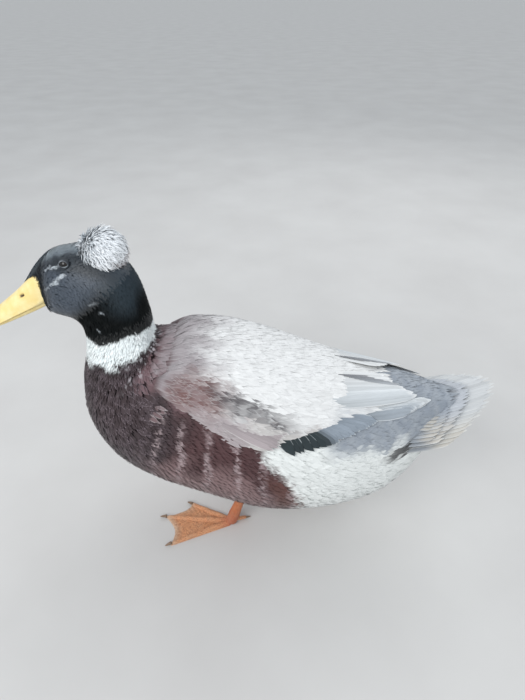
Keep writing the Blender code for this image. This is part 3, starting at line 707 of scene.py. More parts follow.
def lay(place, turn, length, half, lie, heights, shape, rows, columns, lift=no_lift, camber=0.12):
    """Grids of points of feathers that lie on the body: from their roots along their lie,
    in radians down from the way to the tail, rising from the first height to the second."""
    values = (place, turn, length, half, lie, *heights, *body_paces(place, turn))
    place, turn, length, half, slope, low, high, per_place, per_turn = (
        value[:, None, None] for value in values
    )
    part, across = vane_ways(rows, columns)
    width = np.interp(part, *shape)
    reach = length * part - ROUND_TIP * half * across**2 * part**2
    side = half * width * across
    toward = reach * np.cos(slope) - side * np.sin(slope)
    away = reach * np.sin(slope) + side * np.cos(slope)
    places = place - toward / per_place
    turns = turn + away * np.sign(turn) / per_turn
    points, _, _, out = body_ways(places, turns)
    height = low + (high - low) * part**0.8 + camber * half * (1 - across**2) * width
    height = height + lift(places, turns)
    return points + out * height[..., None]


def feather_mesh(name, points, tint, edge, roots, seed, material, slot, *replaced, spread=0.035):
    """One piece of many feathers, each with its tint, its fringe and its place on the map."""
    count, rows, columns = points.shape[:3]
    draw = np.random.default_rng(seed)
    mesh, quads = grid_mesh(name, points)
    shade = draw.normal(1.0, spread, (count, 1, 1, 1))
    for layer, colour in (("tint", tint), ("edge", edge)):
        colour = np.expand_dims(colour, tuple(range(colour.ndim - 1, 3)))
        add_colour(mesh, layer, np.broadcast_to(colour * shade, points.shape))
    part, across = vane_ways(rows, columns)
    add_vane(mesh, across, part, draw.uniform(0.0, 1.0, (count, 1, 1)))
    patches = np.broadcast_arrays(
        roots[0][:, None, None] + across * BAKE_PATCH / 2,
        roots[1][:, None, None] + (part - 0.5) * BAKE_PATCH,
    )
    add_bake_map(mesh, quads, *np.clip(patches, 0.0, 1.0))
    show(mesh, name, material, slot, *replaced)


def tiers_mesh(name, tiers, *rest):
    """One piece of several tiers of feathers, each with its grids, colours and roots."""
    grids, tints, edges, roots = zip(*tiers)
    feather_mesh(
        name, np.concatenate(grids), np.concatenate(tints), np.concatenate(edges),
        np.concatenate(roots, axis=1), *rest,
    )


def marked(plumage, place, turn, length, rows):
    """The colours along feathers that lie on the body: at each row those of the place that
    the row covers."""
    per_place, _ = body_paces(place, turn)
    part = np.linspace(0.0, 1.0, rows)[None, :]
    places = place[:, None] - part * length[:, None] / per_place[:, None]
    turns = np.broadcast_to(turn[:, None], places.shape)
    return plumage(places, turns, on_body(places, turns))


def clear_of_wing(place, turn):
    across, _ = wing_across(place, turn)
    return (across < 0.10) | (across > 0.90)


def clear_of_eye(place, turn):
    points = on_body(place, turn)
    return (eye_distance(points) > EYE_BARE) | (np.abs(points[:, 1]) < EYE_BARE_INNERMOST)


def everywhere(place, turn):
    return np.ones(len(place), bool)


def coat(
    name, places, spacing, seed, length, half, depth, height, shape, rows, columns, finish,
    slot, grows=everywhere, spread=0.10,
):
    """A coat of feathers over a stretch of the body, as one piece. Length, half width, depth of
    the root and height of the tip are given at some places along the body, in mm."""
    place, turn = scatter(*places, spacing, seed)
    kept = grows(place, turn)
    place, turn = place[kept], turn[kept]
    draw = np.random.default_rng(seed + 1)
    count = len(place)
    length = np.interp(place, *length) * draw.uniform(0.85, 1.15, count)
    half = np.interp(place, *half) * draw.uniform(0.8, 1.2, count)
    tint, edge = marked(body_plumage, place, turn, length, rows)
    high = np.interp(place, *height) + draw.normal(0.0, 0.07, count) * half
    grid = lay(
        place, turn, length, half, draw.normal(0.0, spread, count),
        (-np.interp(place, *depth), high), shape, rows, columns, camber=COAT_CAMBER,
    )
    feather_mesh(name, grid, tint, edge, body_roots(place, turn), seed + 1, finish, slot)


body_feather = feather_finish("body_feather", 0.0004, 0.14, depth_shade=0.22)
breast_feather = feather_finish("breast_feather", 0.0004, 0.12, depth_shade=0.25, fringe=0.7)
ring_feather = feather_finish("ring_feather", 0.0003, 0.08, sheen=0.3, depth_shade=0.14)
neck_feather = feather_finish("neck_feather", 0.0003, 0.16, roughness=0.6, sheen=0.0, shine=0.08)
head_feather = feather_finish(
    "head_feather", 0.0002, 0.07, roughness=0.42, sheen=0.3, depth_shade=0.08
)

coat(
    "rear_coat", (-0.1, 4.2), (4.6, 2.9), 21, ((0, 1, 4), (20, 28, 24)), ((0, 4), (3.0, 3.6)),
    ((0, 4), (1.8, 2.6)), ((0, 4), (0.3, 0.3)), SOFT, 6, 3, body_feather, "body_feathers",
    clear_of_wing,
)
coat(
    "flank_coat", (4.2, 6.5), (4.2, 2.6), 23, ((4, 6.6), (20, 15)), ((4, 6.6), (2.9, 2.6)),
    ((4, 6.6), (3.6, 3.6)), ((4, 6.6), (0.3, 0.3)), SOFT, 6, 3, body_feather, "body_feathers",
    clear_of_wing,
)
coat(
    "breast_coat", (6.5, 9.3), (3.6, 2.8), 25, ((6.5, 9.3), (14, 10)), ((6.5, 9.3), (2.7, 2.0)),
    ((6, 9), (2.4, 2.2)), ((6, 9), (0.4, 0.4)), BROAD, 5, 5, breast_feather, "body_feathers",
    spread=0.14,
)
coat(
    "ring_coat", (9.0, 11.6), (2.0, 1.4), 27, ((9, 11.6), (9, 7)), ((9, 11.6), (1.1, 1.0)),
    ((9, 12), (3.2, 2.2)), ((9, 12), (0.7, 0.4)), SLENDER, 5, 3, ring_feather,
    "collar_feathers", spread=0.28,
)
coat(
    "neck_coat", (11.4, 14.2), (2.0, 1.5), 29, ((11, 14), (7, 5.5)), ((11, 14), (1.1, 1.0)),
    ((11, 14), (2.0, 1.6)), ((11, 14), (0.3, 0.15)), SLENDER, 4, 3, neck_feather,
    "head_feathers",
)
coat(
    "head_coat", (14.0, 18.4), (1.7, 1.4), 31, ((14, 18.4), (6.5, 4.6)),
    ((14, 18.4), (1.0, 0.85)), ((14, 18), (1.3, 1.0)), ((14, 18), (0.1, 0.05)), SLENDER, 5, 3,
    head_feather, "head_feathers", clear_of_eye, spread=0.12,
)
coat(
    "face_coat", (18.2, 20.1), (1.2, 1.0), 33, ((18.2, 20.2), (3.0, 2.0)),
    ((18.2, 20.2), (0.8, 0.6)), ((18, 20), (1.1, 0.8)), ((18, 20), (0.05, 0.0)), SLENDER, 4, 3,
    head_feather, "head_feathers", clear_of_eye,
)


# The folded wings
# Each wing is a fan of long vanes, folded so that only their outer halves show, under rows
# of coverts. Long soft shoulder feathers lie over both wings and meet above the spine.
WING_WHITE = dye(230, 230, 229)
WING_MAUVE = dye(152, 144, 147)
WING_CHESTNUT = dye(112, 80, 78)
WING_DUSK = dye(84, 80, 83)
WING_FRONT = dye(98, 74, 77)
WING_LOW = dye(166, 156, 158)
WING_CREAM = dye(200, 197, 194)
WING_GREY = dye(146, 156, 167)
SPECULUM = dye(34, 46, 50)


def wing_plumage(place, turn, points):
    """The colours of the wing's coverts and of their fringes, by where they are seen."""
    angle = np.degrees(np.abs(turn))
    blotch = mottle(points, 13.0, 5)
    fine = mottle(points, 5.0, 6)
    streak = mottle(points * (0.4, 1.0, 0.9), 3.0, 10)
    back = rise(place + 0.22 * blotch + 0.06 * streak + 0.006 * angle, 4.8, 6.1)
    below = rise(angle + 3 * blotch + 2 * fine, 46, 54)
    front = rise(place + 0.3 * fine + 0.012 * (angle - 20), 6.3, 7.0)
    warm = patch(place, angle + 2 * blotch, (5.45, 42.5), (0.75, 12.5), soft=0.9)
    sloping = angle + 5.5 * (place - 4.35)
    dusk = patch(place, sloping + 1.5 * blotch, (4.35, 45.0), (0.80, 5.5), soft=0.9)
    grey = rise(3.0 - place, 0.0, 0.5) * rise(angle, 30, 40)
    tint = paint(
        plain(WING_WHITE, points),
        (WING_MAUVE, 0.95 * back),
        (WING_LOW, below),
        (WING_CREAM, 0.9 * below * rise(4.75 - place + 0.2 * blotch, 0.0, 0.7)),
        (WING_FRONT, 0.9 * front),
        (WING_CHESTNUT, warm * (0.84 + 0.14 * streak)),
        (WING_DUSK, dusk * (0.76 + 0.18 * streak)),
        (WING_GREY, 0.45 * grey),
    )
    tint = tint * (1 - 0.07 * rise(streak, 0.1, 1.0))[..., None]
    edge = tint + (1.0 - tint) * (0.14 + 0.08 * fine)[..., None]
    return tint, edge


wing_feather = feather_finish(
    "wing_feather", 0.0004, 0.10, sheen=0.1, depth_shade=0.12, grain=0.22
)
flight_feather = feather_finish(
    "flight_feather", 0.0005, 0.12, sheen=0.1, shaft=0.10, depth_shade=0.2, fringe=0.76, grain=0.45
)

# Each tier of long vanes, lowest first: count, root and tip of the first and of the last
# (place along the body and angle from the spine), heights of root and tip over the body,
# half width, tilt in degrees, colours of the first and last vane, and of their fringe, and
# the shares of the tier between which the first colour gives way to the last
FLIGHT_TIERS = (
    (10, (2.3, 43.0), (0.95, 45.0), (2.0, 39.0), (0.30, 37.0), 0.9, 2.2, 5.5, 7.0,
     dye(160, 168, 176), dye(206, 210, 212), dye(226, 230, 232), (0.0, 1.0)),
    (22, (3.9, 56.0), (3.62, 69.0), (2.6, 42.0), (1.9, 48.0), 2.2, 2.0, 5.2, 7.0,
     SPECULUM, WING_GREY, dye(206, 212, 214), (0.36, 0.52)),
    (20, (3.5, 34.0), (0.75, 29.0), (3.4, 11.0), (1.6, 6.0), 3.0, 4.6, 4.6, 5.0,
     dye(204, 209, 212), dye(218, 219, 219), dye(232, 233, 233), (0.0, 1.0)),
    (6, (2.7, 9.5), (2.0, 8.5), (2.15, 13.0), (1.15, 16.0), 4.9, 5.3, 0.8, 5.0,
     dye(120, 121, 126), dye(164, 168, 173), dye(206, 208, 210), (0.0, 1.0)),
    (30, (4.9, 58.0), (3.85, 66.0), (4.4, 20.0), (3.1, 14.0), 5.0, 4.6, 3.4, 5.0,
     WING_LOW, WING_WHITE, dye(226, 224, 222), (0.1, 0.6)),
)
ARM_DEPTH = 1.4
ARM_ROWS = 90
ARM_COLUMNS = 72
# The coverts run between these places along the body, and down to this angle from the spine
COVERTS_REAR = 2.3
COVERTS_FRONT = 7.0
WING_LOWEST = 72.0
VANE = ((0.0, 0.15, 0.5, 0.85, 0.95, 1.0), (0.5, 0.8, 1.0, 0.88, 0.62, 0.3))
FLIGHT_ROWS = 16
COVERT_ROWS = 8
FLIGHT_COLUMNS = 9


def flight_vanes(tier, side, seed):
    """Grids of points of one tier of long vanes, their colours, and where they grow."""
    (count, root_a, tip_a, root_b, tip_b, low, high, half, tilt,
     first, last, fringe, change) = tier
    draw = np.random.default_rng(seed)
    share = np.linspace(0.0, 1.0, count)[:, None, None]
    part, across = vane_ways(FLIGHT_ROWS, FLIGHT_COLUMNS)
    roots = [a + (b - a) * share for a, b in zip(root_a, root_b)]
    tips = [a + (b - a) * share for a, b in zip(tip_a, tip_b)]
    tips[0] = tips[0] + draw.normal(0.0, 0.05, share.shape)
    per_place, _ = body_paces(roots[0], np.radians(roots[1]) * side)
    run = (roots[0] - tips[0]) * per_place
    frayed = 0.12 * draw.uniform(0, 1, (count, FLIGHT_ROWS, 1)) * np.abs(across)
    reach = part - (half / run) * (0.9 * across**2 * part**2 + frayed)
    middle = roots[0] + (tips[0] - roots[0]) * reach
    angle = roots[1] + (tips[1] - roots[1]) * reach
    turn = np.radians(angle) * side
    per_place, per_turn = body_paces(middle, turn)
    slope = np.arctan2(
        np.radians(tips[1] - roots[1]) * per_turn, (roots[0] - tips[0]) * per_place
    )
    width = half * np.interp(part, *VANE) * across
    places = middle + width * np.sin(slope) / per_place
    turns = turn + side * width * np.cos(slope) / per_turn
    points, _, _, out = body_ways(places, turns)
    height = low + (high - low) * part + 0.10 * half * (1 - across**2)
    height = height - math.sin(math.radians(tilt)) * width
    grid = points + out * height[..., None]
    tint = first + (last - first) * rise(share[:, 0], *change)
    tint = tint * draw.uniform(0.88, 1.05, (count, 1))
    edge = tint + (fringe - tint) * 0.8
    root_turn = np.radians(roots[1][:, 0, 0]) * side
    return grid, tint, edge, body_roots(roots[0][:, 0, 0], root_turn)


def back_lift(place, turn):
    """The height of the shoulder feathers, which fill the hollow between the wings."""
    angle = np.degrees(np.abs(turn))
    filled = 5.2 * rise(36 - angle, 0, 12) * rise(place, 1.6, 3.2) * rise(6.9 - place, 0.0, 1.0)
    return np.maximum(wing_lift(place, turn), filled)


def on_wing(place, turn):
    """Where coverts grow. Lower on the wing they leave the long vanes bare behind them."""
    across, _ = wing_across(place, turn)
    angle = np.degrees(np.abs(turn))
    behind = COVERTS_REAR + 1.1 * rise(angle, 30, 42) + 1.3 * rise(angle, 54, 62)
    return (across < 1.03) & (angle < WING_LOWEST) & (place > behind)


def wing_arm(name, side):
    """The feathered skin of the folded arm, which closes the wing under its coverts."""
    places = np.linspace(2.2, COVERTS_FRONT, ARM_ROWS)[:, None]
    angles = np.linspace(0.0, WING_LOWEST, ARM_COLUMNS)[None, :]
    place, turn = np.broadcast_arrays(places, np.radians(angles) * side)
    points, _, _, out = body_ways(place, turn)
    kept = np.where(on_wing(place + 0.4, turn), 1.0, 0.0)
    raised = (back_lift(place, turn) + ARM_DEPTH) * kept - ARM_DEPTH
    tint, edge = wing_plumage(place, turn, points)
    feather_bed(
        name, points + out * (raised - ARM_DEPTH)[..., None], tint * SKIN_SHADE,
        edge * SKIN_SHADE, place, body_roots(place, turn), wing_feather, "wing_feathers",
        closed=False,
    )


for wing_name, wing_side in (("wing_left", 1), ("wing_right", -1)):
    wing_arm(wing_name + "_arm", wing_side)
    tiers = [flight_vanes(tier, wing_side, 40 + k) for k, tier in enumerate(FLIGHT_TIERS)]
    tiers_mesh(wing_name + "_vanes", tiers, 45, flight_feather, "wing_feathers", wing_name)
    low_angle, high_angle = sorted((0, WING_LOWEST * wing_side))
    place, turn = scatter(
        COVERTS_REAR, COVERTS_FRONT, (4.2, 2.0), 46, low_angle, high_angle
    )
    kept = on_wing(place, turn)
    place, turn = place[kept], turn[kept]
    draw = np.random.default_rng(47)
    count = len(place)
    length = np.interp(place, (2.3, 4.0, 5.5, 6.9), (42, 38, 26, 16))
    length = length * draw.uniform(0.8, 1.2, count)
    half = np.interp(place, (4.0, 6.9), (2.6, 2.2)) * draw.uniform(0.7, 1.25, count)
    tint, edge = marked(wing_plumage, place, turn, length, COVERT_ROWS)
    low = np.full(count, -1.6)
    high = 0.8 + draw.normal(0.0, 0.12, count)
    grid = lay(
        place, turn, length, half, draw.normal(0.05, 0.09, count), (low, high),
        SOFT, COVERT_ROWS, 3, lift=back_lift,
    )
    feather_mesh(
        wing_name + "_coverts", grid, tint, edge, body_roots(place, turn), 48,
        wing_feather, "wing_feathers",
    )


# The tail
# Long stiff feathers and their coverts lie side by side in a short wedge on the rump. White
# soft feathers fill the space under them.
TAIL_ROOT = Vector((166.0, 0.0, 157.0))
TAIL_TURN = Matrix.Rotation(math.radians(4), 3, "Z") @ Matrix.Rotation(math.radians(-20), 3, "Y")
# From the lowest tier up: count, length of the middle and outer feathers, half angle of the
# fan, half width of the row of roots, how far the outer roots are set back, height of root and
# tip, droop of the outer feathers, half width of a feather, and the dyes of tint and fringe
TAIL_TIERS = (
    (18, 37, 31, 20, 15, 3, -26, -20, 0, 4.5, (222, 226, 226), (232, 234, 234)),
    (20, 44, 36, 20, 19, 5, -20, -14, 2, 4.5, (220, 224, 225), (232, 234, 234)),
    (22, 52, 42, 20, 23, 9, -14, -9, 4, 4.5, (214, 218, 219), (230, 232, 232)),
    (22, 60, 46, 19, 28, 14, -8, -5, 6, 5.0, (206, 210, 211), (226, 228, 228)),
    (28, 90, 54, 9, 42, 24, 0, 0, 9, 6.0, (196, 198, 199), (216, 217, 214)),
    (28, 64, 44, 8, 41, 24, 6, 2.6, 8, 5.0, (180, 184, 190), (200, 204, 207)),
    (30, 46, 38, 8, 40, 24, 10, 5, 7, 4.2, (158, 165, 174), (178, 185, 193)),
    (26, 38, 34, 8, 32, 20, 21, 8, 6, 4.0, (150, 158, 168), (170, 178, 187)),
)
TAIL_GREY = dye(150, 159, 170)
TAIL_CREAM = dye(196, 190, 179)
TAIL_SETBACK = 12.0
TAIL_ROWS = 14
TAIL_COLUMNS = 7


def tail_vanes(tier, seed):
    """Grids of points of one tier of the tail, their colours, and places on the map."""
    (count, middle, outer, spread, root_half, setback, low, high, droop, half,
     tint, fringe) = tier
    draw = np.random.default_rng(seed)
    share = np.linspace(-1.0, 1.0, count)[:, None, None]
    part, across = vane_ways(TAIL_ROWS, TAIL_COLUMNS)
    length = middle + (outer - middle) * np.abs(share) ** 1.3 + draw.normal(0, 0.8, share.shape)
    turn = np.radians(spread) * share + draw.normal(0, 0.012, share.shape)
    reach = length * (part - 0.07 * across**2 * part**3)
    reach = reach - 0.8 * draw.uniform(0, 1, (count, TAIL_ROWS, 1)) * across**2 * part
    width = half * np.interp(part, *VANE) * across
    lap = 0.22 * (count / 2 - np.abs(np.arange(count) - (count - 1) / 2))[:, None, None]
    height = low + (high - low) * part - droop * share**2 + lap
    height = height + 0.1 * half * (1 - across**2) - 0.06 * width * np.sign(share)
    flat = np.stack(np.broadcast_arrays(
        reach * np.cos(turn) - width * np.sin(turn) - TAIL_SETBACK - setback * share**2,
        reach * np.sin(turn) + width * np.cos(turn) + root_half * share,
        height,
    ), axis=-1)
    grid = flat @ np.array(TAIL_TURN).T + np.array(TAIL_ROOT)
    tone = paint(
        dye(*tint),
        (TAIL_CREAM, 0.8 * rise(-share, 0.45, 0.9)),
        (TAIL_GREY, 0.8 * rise(0.80 - part, 0.0, 0.40) * (low >= 0)),
    )
    tone = tone * draw.uniform(0.94, 1.04, (count, 1, 1, 1))
    edge = tone + (dye(*fringe) - tone) * 0.6
    row = np.full(count, 0.02 + 0.12 * seed / 60)
    return grid, tone, edge, (0.5 + 0.4 * share[:, 0, 0], row)


tail_feather = feather_finish(
    "tail_feather", 0.0005, 0.12, sheen=0.1, shaft=0.08, depth_shade=0.15, fringe=0.7, grain=0.4
)
tiers = [tail_vanes(tier, 50 + k) for k, tier in enumerate(TAIL_TIERS)]
tiers_mesh("tail_vanes", tiers, 55, tail_feather, "tail_feathers", "tail")


# The tuft
# A ball of soft curled feathers stands on the back of the crown. They part from a whorl in
# front and lie back and down, white in the middle, dusky in front and buff behind and below.
TUFT_PLACE = np.array((-138.5, 0.0, 333.0))
TUFT_RADIUS = 21.0
TUFT_COUNT = 8000
TUFT_CORE = 15.5
CORE_ROWS = 40
CORE_SIDES = 60
# How far out of the middle the feathers grow, how far along them their curl begins, and their
# half width in mm
TUFT_ROOT = 0.22
CURL_START = 0.3
TUFT_HALF = 0.9
# How far down the ball they grow, from 0 for none of it to 2 for all of it
TUFT_COVER = 1.42
TUFT_FLOW = unit(np.array((0.75, 0.0, -0.66)))
TUFT_AXIS = unit(np.array((0.30, 0.0, 0.95)))
TUFT_ROWS = 7
TUFT_WHITE = dye(236, 239, 242)
TUFT_DUSK = dye(178, 184, 189)
TUFT_BUFF = dye(132, 119, 117)

draw = np.random.default_rng(61)
number = np.arange(TUFT_COUNT) + 0.5
cosine = 1 - TUFT_COVER * number / TUFT_COUNT
spiral = number * math.pi * (3 - math.sqrt(5))
first_way = unit(np.cross(TUFT_AXIS, (0.0, 1.0, 0.0)))
second_way = np.cross(TUFT_AXIS, first_way)
ring = np.sqrt(np.maximum(0.0, 1 - cosine**2))
way = (
    TUFT_AXIS * cosine[:, None]
    + first_way * (np.cos(spiral) * ring)[:, None]
    + second_way * (np.sin(spiral) * ring)[:, None]
)
way = unit(way + draw.normal(0, 0.06, way.shape))
flow = unit(TUFT_FLOW + draw.normal(0, 0.32, way.shape))
flow = unit(flow - way * (flow * way).sum(1)[:, None])
whorl = np.clip(np.arccos(np.clip(-way @ TUFT_FLOW, -1, 1)) / math.radians(55), 0, 1)
curl = np.radians(draw.uniform(90, 135, TUFT_COUNT)) * (0.70 + 0.30 * whorl)
reach = TUFT_RADIUS * draw.uniform(0.84, 1.18, TUFT_COUNT) * (0.88 + 0.12 * whorl)
aside = np.cross(way, flow)
part = np.linspace(0, 1, TUFT_ROWS)
middle = TUFT_PLACE + way * (TUFT_RADIUS * TUFT_ROOT)
step = (reach / (TUFT_ROWS - 1))[:, None]
path = [middle]
for k in range(1, TUFT_ROWS):
    heading = (curl * max(0.0, (part[k] - CURL_START) / (1 - CURL_START)) ** 0.8)[:, None]
    middle = middle + (way * np.cos(heading) + flow * np.sin(heading)) * step
    path.append(middle)
path = np.stack(path, axis=1)
half = TUFT_HALF * draw.uniform(0.7, 1.3, TUFT_COUNT)[:, None]
half = half * np.interp(part, (0, 0.4, 0.8, 1), (0.6, 1.0, 0.8, 0.1))
across = np.linspace(-1.0, 1.0, 3)[None, None, :, None]
grid = path[:, :, None] + aside[:, None, None] * across * half[:, :, None, None]
dusk = rise(-way[:, 0] + 0.2 * draw.normal(size=TUFT_COUNT), 0.25, 0.75)
buff = rise(way[:, 0] - way[:, 2] + 0.3 * draw.normal(size=TUFT_COUNT), 0.4, 1.0)
tint = paint(plain(TUFT_WHITE, way), (TUFT_DUSK, dusk), (TUFT_BUFF, 0.8 * buff))
tuft_down = feather_finish(
    "tuft_down", 0.0001, 0.04, roughness=0.8, sheen=0.3, depth_shade=0.06
)
tuft_map = (0.5 + 0.45 * np.arctan2(way[:, 1], way[:, 0]) / math.pi, 0.5 + 0.45 * way[:, 2])
feather_mesh(
    "tuft", grid, tint, tint * 1.04, tuft_map, 62, tuft_down, "crest_feathers", "crest",
    spread=0.03,
)

core_way, core_tilt, core_turn = ball_ways(CORE_ROWS, CORE_SIDES, *np.eye(3))
core_dusk = rise(-core_way[..., 0], 0.25, 0.75)
core_tint = paint(plain(TUFT_WHITE, core_way), (TUFT_DUSK, core_dusk))
feather_bed(
    "tuft_core", TUFT_PLACE + core_way * TUFT_CORE, core_tint, core_tint, core_tilt,
    (core_turn / math.tau, core_tilt / math.pi), tuft_down, "crest_feathers",
)


# The bill
# The upper half is deep at its base and flat at its tip, which carries a hard nail. It has
# two open nostrils and shuts over the lower half along a fine line. Both are pale horn.
BILL_BASE = np.array((-196.0, 0.0, 287.5))
BILL_PITCH = math.radians(25.0)
BILL_FORWARD = np.array((-math.cos(BILL_PITCH), 0.0, -math.sin(BILL_PITCH)))
BILL_UPWARD = np.array((-math.sin(BILL_PITCH), 0.0, math.cos(BILL_PITCH)))
BILL_STEPS = 90
BILL_SIDES = 72
MOUTH_SIDES = 12
MOUTH_GAP = 0.4
# Along, half width, height over or under the mouth line, roundness
BILL_ROWS = np.array((
    (-10.0, 12.2, 25.5, 3.2), (0.0, 12.5, 23.4, 3.0), (9.0, 12.8, 20.7, 2.6),
    (20.0, 13.0, 17.5, 2.3), (34.0, 13.6, 14.2, 2.3), (47.0, 14.4, 11.4, 2.3),
    (58.0, 13.8, 8.8, 2.3), (66.0, 10.5, 6.4, 2.3), (70.0, 5.0, 4.0, 2.3),
))
MANDIBLE_ROWS = np.array((
    (-10.0, 10.0, 5.0, 2.4), (4.0, 10.5, 5.2, 2.4), (20.0, 11.0, 5.2, 2.4),
    (42.0, 12.0, 4.2, 2.4), (58.0, 11.0, 3.2, 2.4), (66.5, 5.0, 2.0, 2.4),
))
# How far along the bill and how high over the mouth line the nostrils lie
NOSTRIL = (13.5, 13.8)
NAIL_START = 61.0


def half_bill(name, table, sign, detail, replaced):
    """One half of the bill as a closed skin, with its detail worked into the surface."""
    place = np.linspace(0, len(table) - 1, BILL_STEPS)
    along, half, high, roundness = np.moveaxis(row_at(table, place)[:, None], -1, 0)
    angle = np.linspace(0, math.pi, BILL_SIDES)
    power = 2 / roundness
    cosine = np.copysign(np.abs(np.cos(angle)) ** power, np.cos(angle))
    sine = np.abs(np.sin(angle)) ** power
    raised = detail(along, half * cosine, high * sine)
    across = half * cosine + raised * cosine
    up = high * sine + raised * sine
    mouth = np.linspace(-1, 1, MOUTH_SIDES + 2)[1:-1]
    across = np.concatenate((across, half * mouth), axis=1)
    up = np.concatenate((up, np.zeros((BILL_STEPS, MOUTH_SIDES))), axis=1)
    points = capped(
        BILL_BASE + BILL_FORWARD * along[..., None]
        + BILL_UPWARD * (sign * (MOUTH_GAP + up))[..., None]
        + np.array((0.0, 1.0, 0.0)) * across[..., None]
    )
    mesh, _ = grid_mesh(name, points[None], closed=True)
    # Painted shade in the deep pits of the bill, the nostrils most of all.
    pit_shade = np.zeros(points.shape)
    pit_shade[1:-1, :BILL_SIDES] = rise(-raised, 0.5, 1.6)[..., None]
    add_colour(mesh, "pit_shade", pit_shade)
    show(mesh, name, bill_finish.material, "bill_horn", replaced)


def round_nostril(along, up, length, height):
    """1 within an oval of the given half length and half height, falling to 0 outside it."""
    return np.exp(-(((along - NOSTRIL[0]) / length) ** 4) - ((up - NOSTRIL[1]) / height) ** 4)


def upper_detail(along, across, up):
    """How far the nostrils, the nail and the lip stand out of the upper half."""
    aside = np.abs(across)
    pit = round_nostril(along, up, 3.0, 1.25) * (aside > 5)
    rim = round_nostril(along, up, 4.4, 2.2)
    nail = rise(along, NAIL_START - 1.0, NAIL_START + 1.0) * rise(4.6 - aside, 0.0, 1.0)
    groove = np.exp(-((aside - 5.2) ** 2) / 0.5) * rise(along, NAIL_START - 3, NAIL_START)
    lip = np.exp(-((up - 0.6) ** 2) / 0.5) * rise(along, 4, 12)
    return 0.35 * rim - 2.2 * pit + 0.35 * nail - 0.2 * groove + 0.3 * lip


def lower_detail(along, across, up):
    """A shallow furrow under the lower half."""
    return -0.6 * np.exp(-(across / 2.2) ** 2) * rise(40 - along, 0, 20)


bill_finish = Finish("bill_horn", Roughness=0.42, Coat_Weight=0.15, Coat_Roughness=0.3)
bill_where = bill_finish.place()
bill_cloud = bill_finish.noise(bill_where, 90.0).rising(0.35, 0.7)
bill_speck = bill_finish.noise(bill_where, 900.0, detail=2.0).rising(0.62, 0.80)
bill_tip = (bill_finish.parts(bill_where)[0] * -1.0).rising(0.232, 0.246)
bill_colour = dye(240, 214, 140)
for share, colour in (
    (bill_cloud, dye(248, 230, 172)),
    (bill_speck * 0.3, dye(206, 172, 104)),
    (bill_tip * 0.45, dye(246, 236, 196)),
    # Painted shade in the nostril pits.
    (bill_finish.layer("pit_shade", "Fac"), dye(70, 50, 34)),
):
    bill_colour = bill_finish.mix(share, bill_colour, colour)
bill_finish.use(Base_Color=bill_colour)
bill_finish.bump(bill_finish.noise(bill_where, 500.0, detail=4.0), 0.25, 0.0004)
half_bill("bill_upper_horn", BILL_ROWS, 1, upper_detail, "bill_upper")
half_bill("bill_lower_horn", MANDIBLE_ROWS, -1, lower_detail, "bill_lower")


# The eyes
# Each eye is a dark brown ball with a black pupil, wet all over. It sits in the hollow of the
# skin between two bare lids, whose rims carry a painted highlight on the side toward the lamp.
EYE_ROWS = 40
EYE_SIDES = 48
LID_SIDES = 56
LID_LENGTH = 3.7
LID_HEIGHT = 2.15
LID_REACH = 5.4
LID_DROP = 1.3
LID_TILT = math.radians(-10.0)
LID_LIGHT = math.radians(130)
LID_FACING = np.array((-0.15, 0.77, 0.62))
# How deep the skin lies from the eye's middle, and how much less it is per mm² away from it
LID_BED = (1.7, 0.03)
# One line for each ring of the lids from the rim: how far it goes from the slit to the round
# outer edge, how far it goes past the slit, height over the ball and share of the way from
# there down to the skin
LID_RINGS = (
    (0.0, 1.0, 0.1, 0.0),
    (0.0, 1.03, 0.4, 0.0),
    (0.0, 1.10, 0.55, 0.0),
    (0.25, 1.15, 0.5, 0.0),
    (0.7, 1.2, 0.4, 0.05),
    (1.0, 1.2, 0.2, 1.0),
)
LID_SLATE = dye(34, 40, 47)
# A painted highlight on the lids' rims, strongest on the side turned toward LID_LIGHT.
LID_RIM_HIGHLIGHT = dye(160, 168, 174)
IRIS = dye(27, 19, 15)
IRIS_EDGE = dye(14, 12, 11)
PUPIL = dye(7, 6, 6)
# How much each of the lids' rings shows the painted highlight on the rim
LID_SHINE = (0.1, 0.6, 0.9, 0.1, 0.0, 0.0)

iris_finish = Finish(
    "eye_glass", Roughness=0.06, Specular_IOR_Level=0.0, Coat_Weight=1.0, Coat_Roughness=0.02
)
iris_finish.use(Base_Color=iris_finish.layer("tint"))
lid_finish = Finish("lid_skin", Roughness=0.5)
lid_finish.use(Base_Color=lid_finish.layer("tint"))
lid_finish.bump(lid_finish.noise(lid_finish.place(), 1500.0), 0.5, 0.0003)

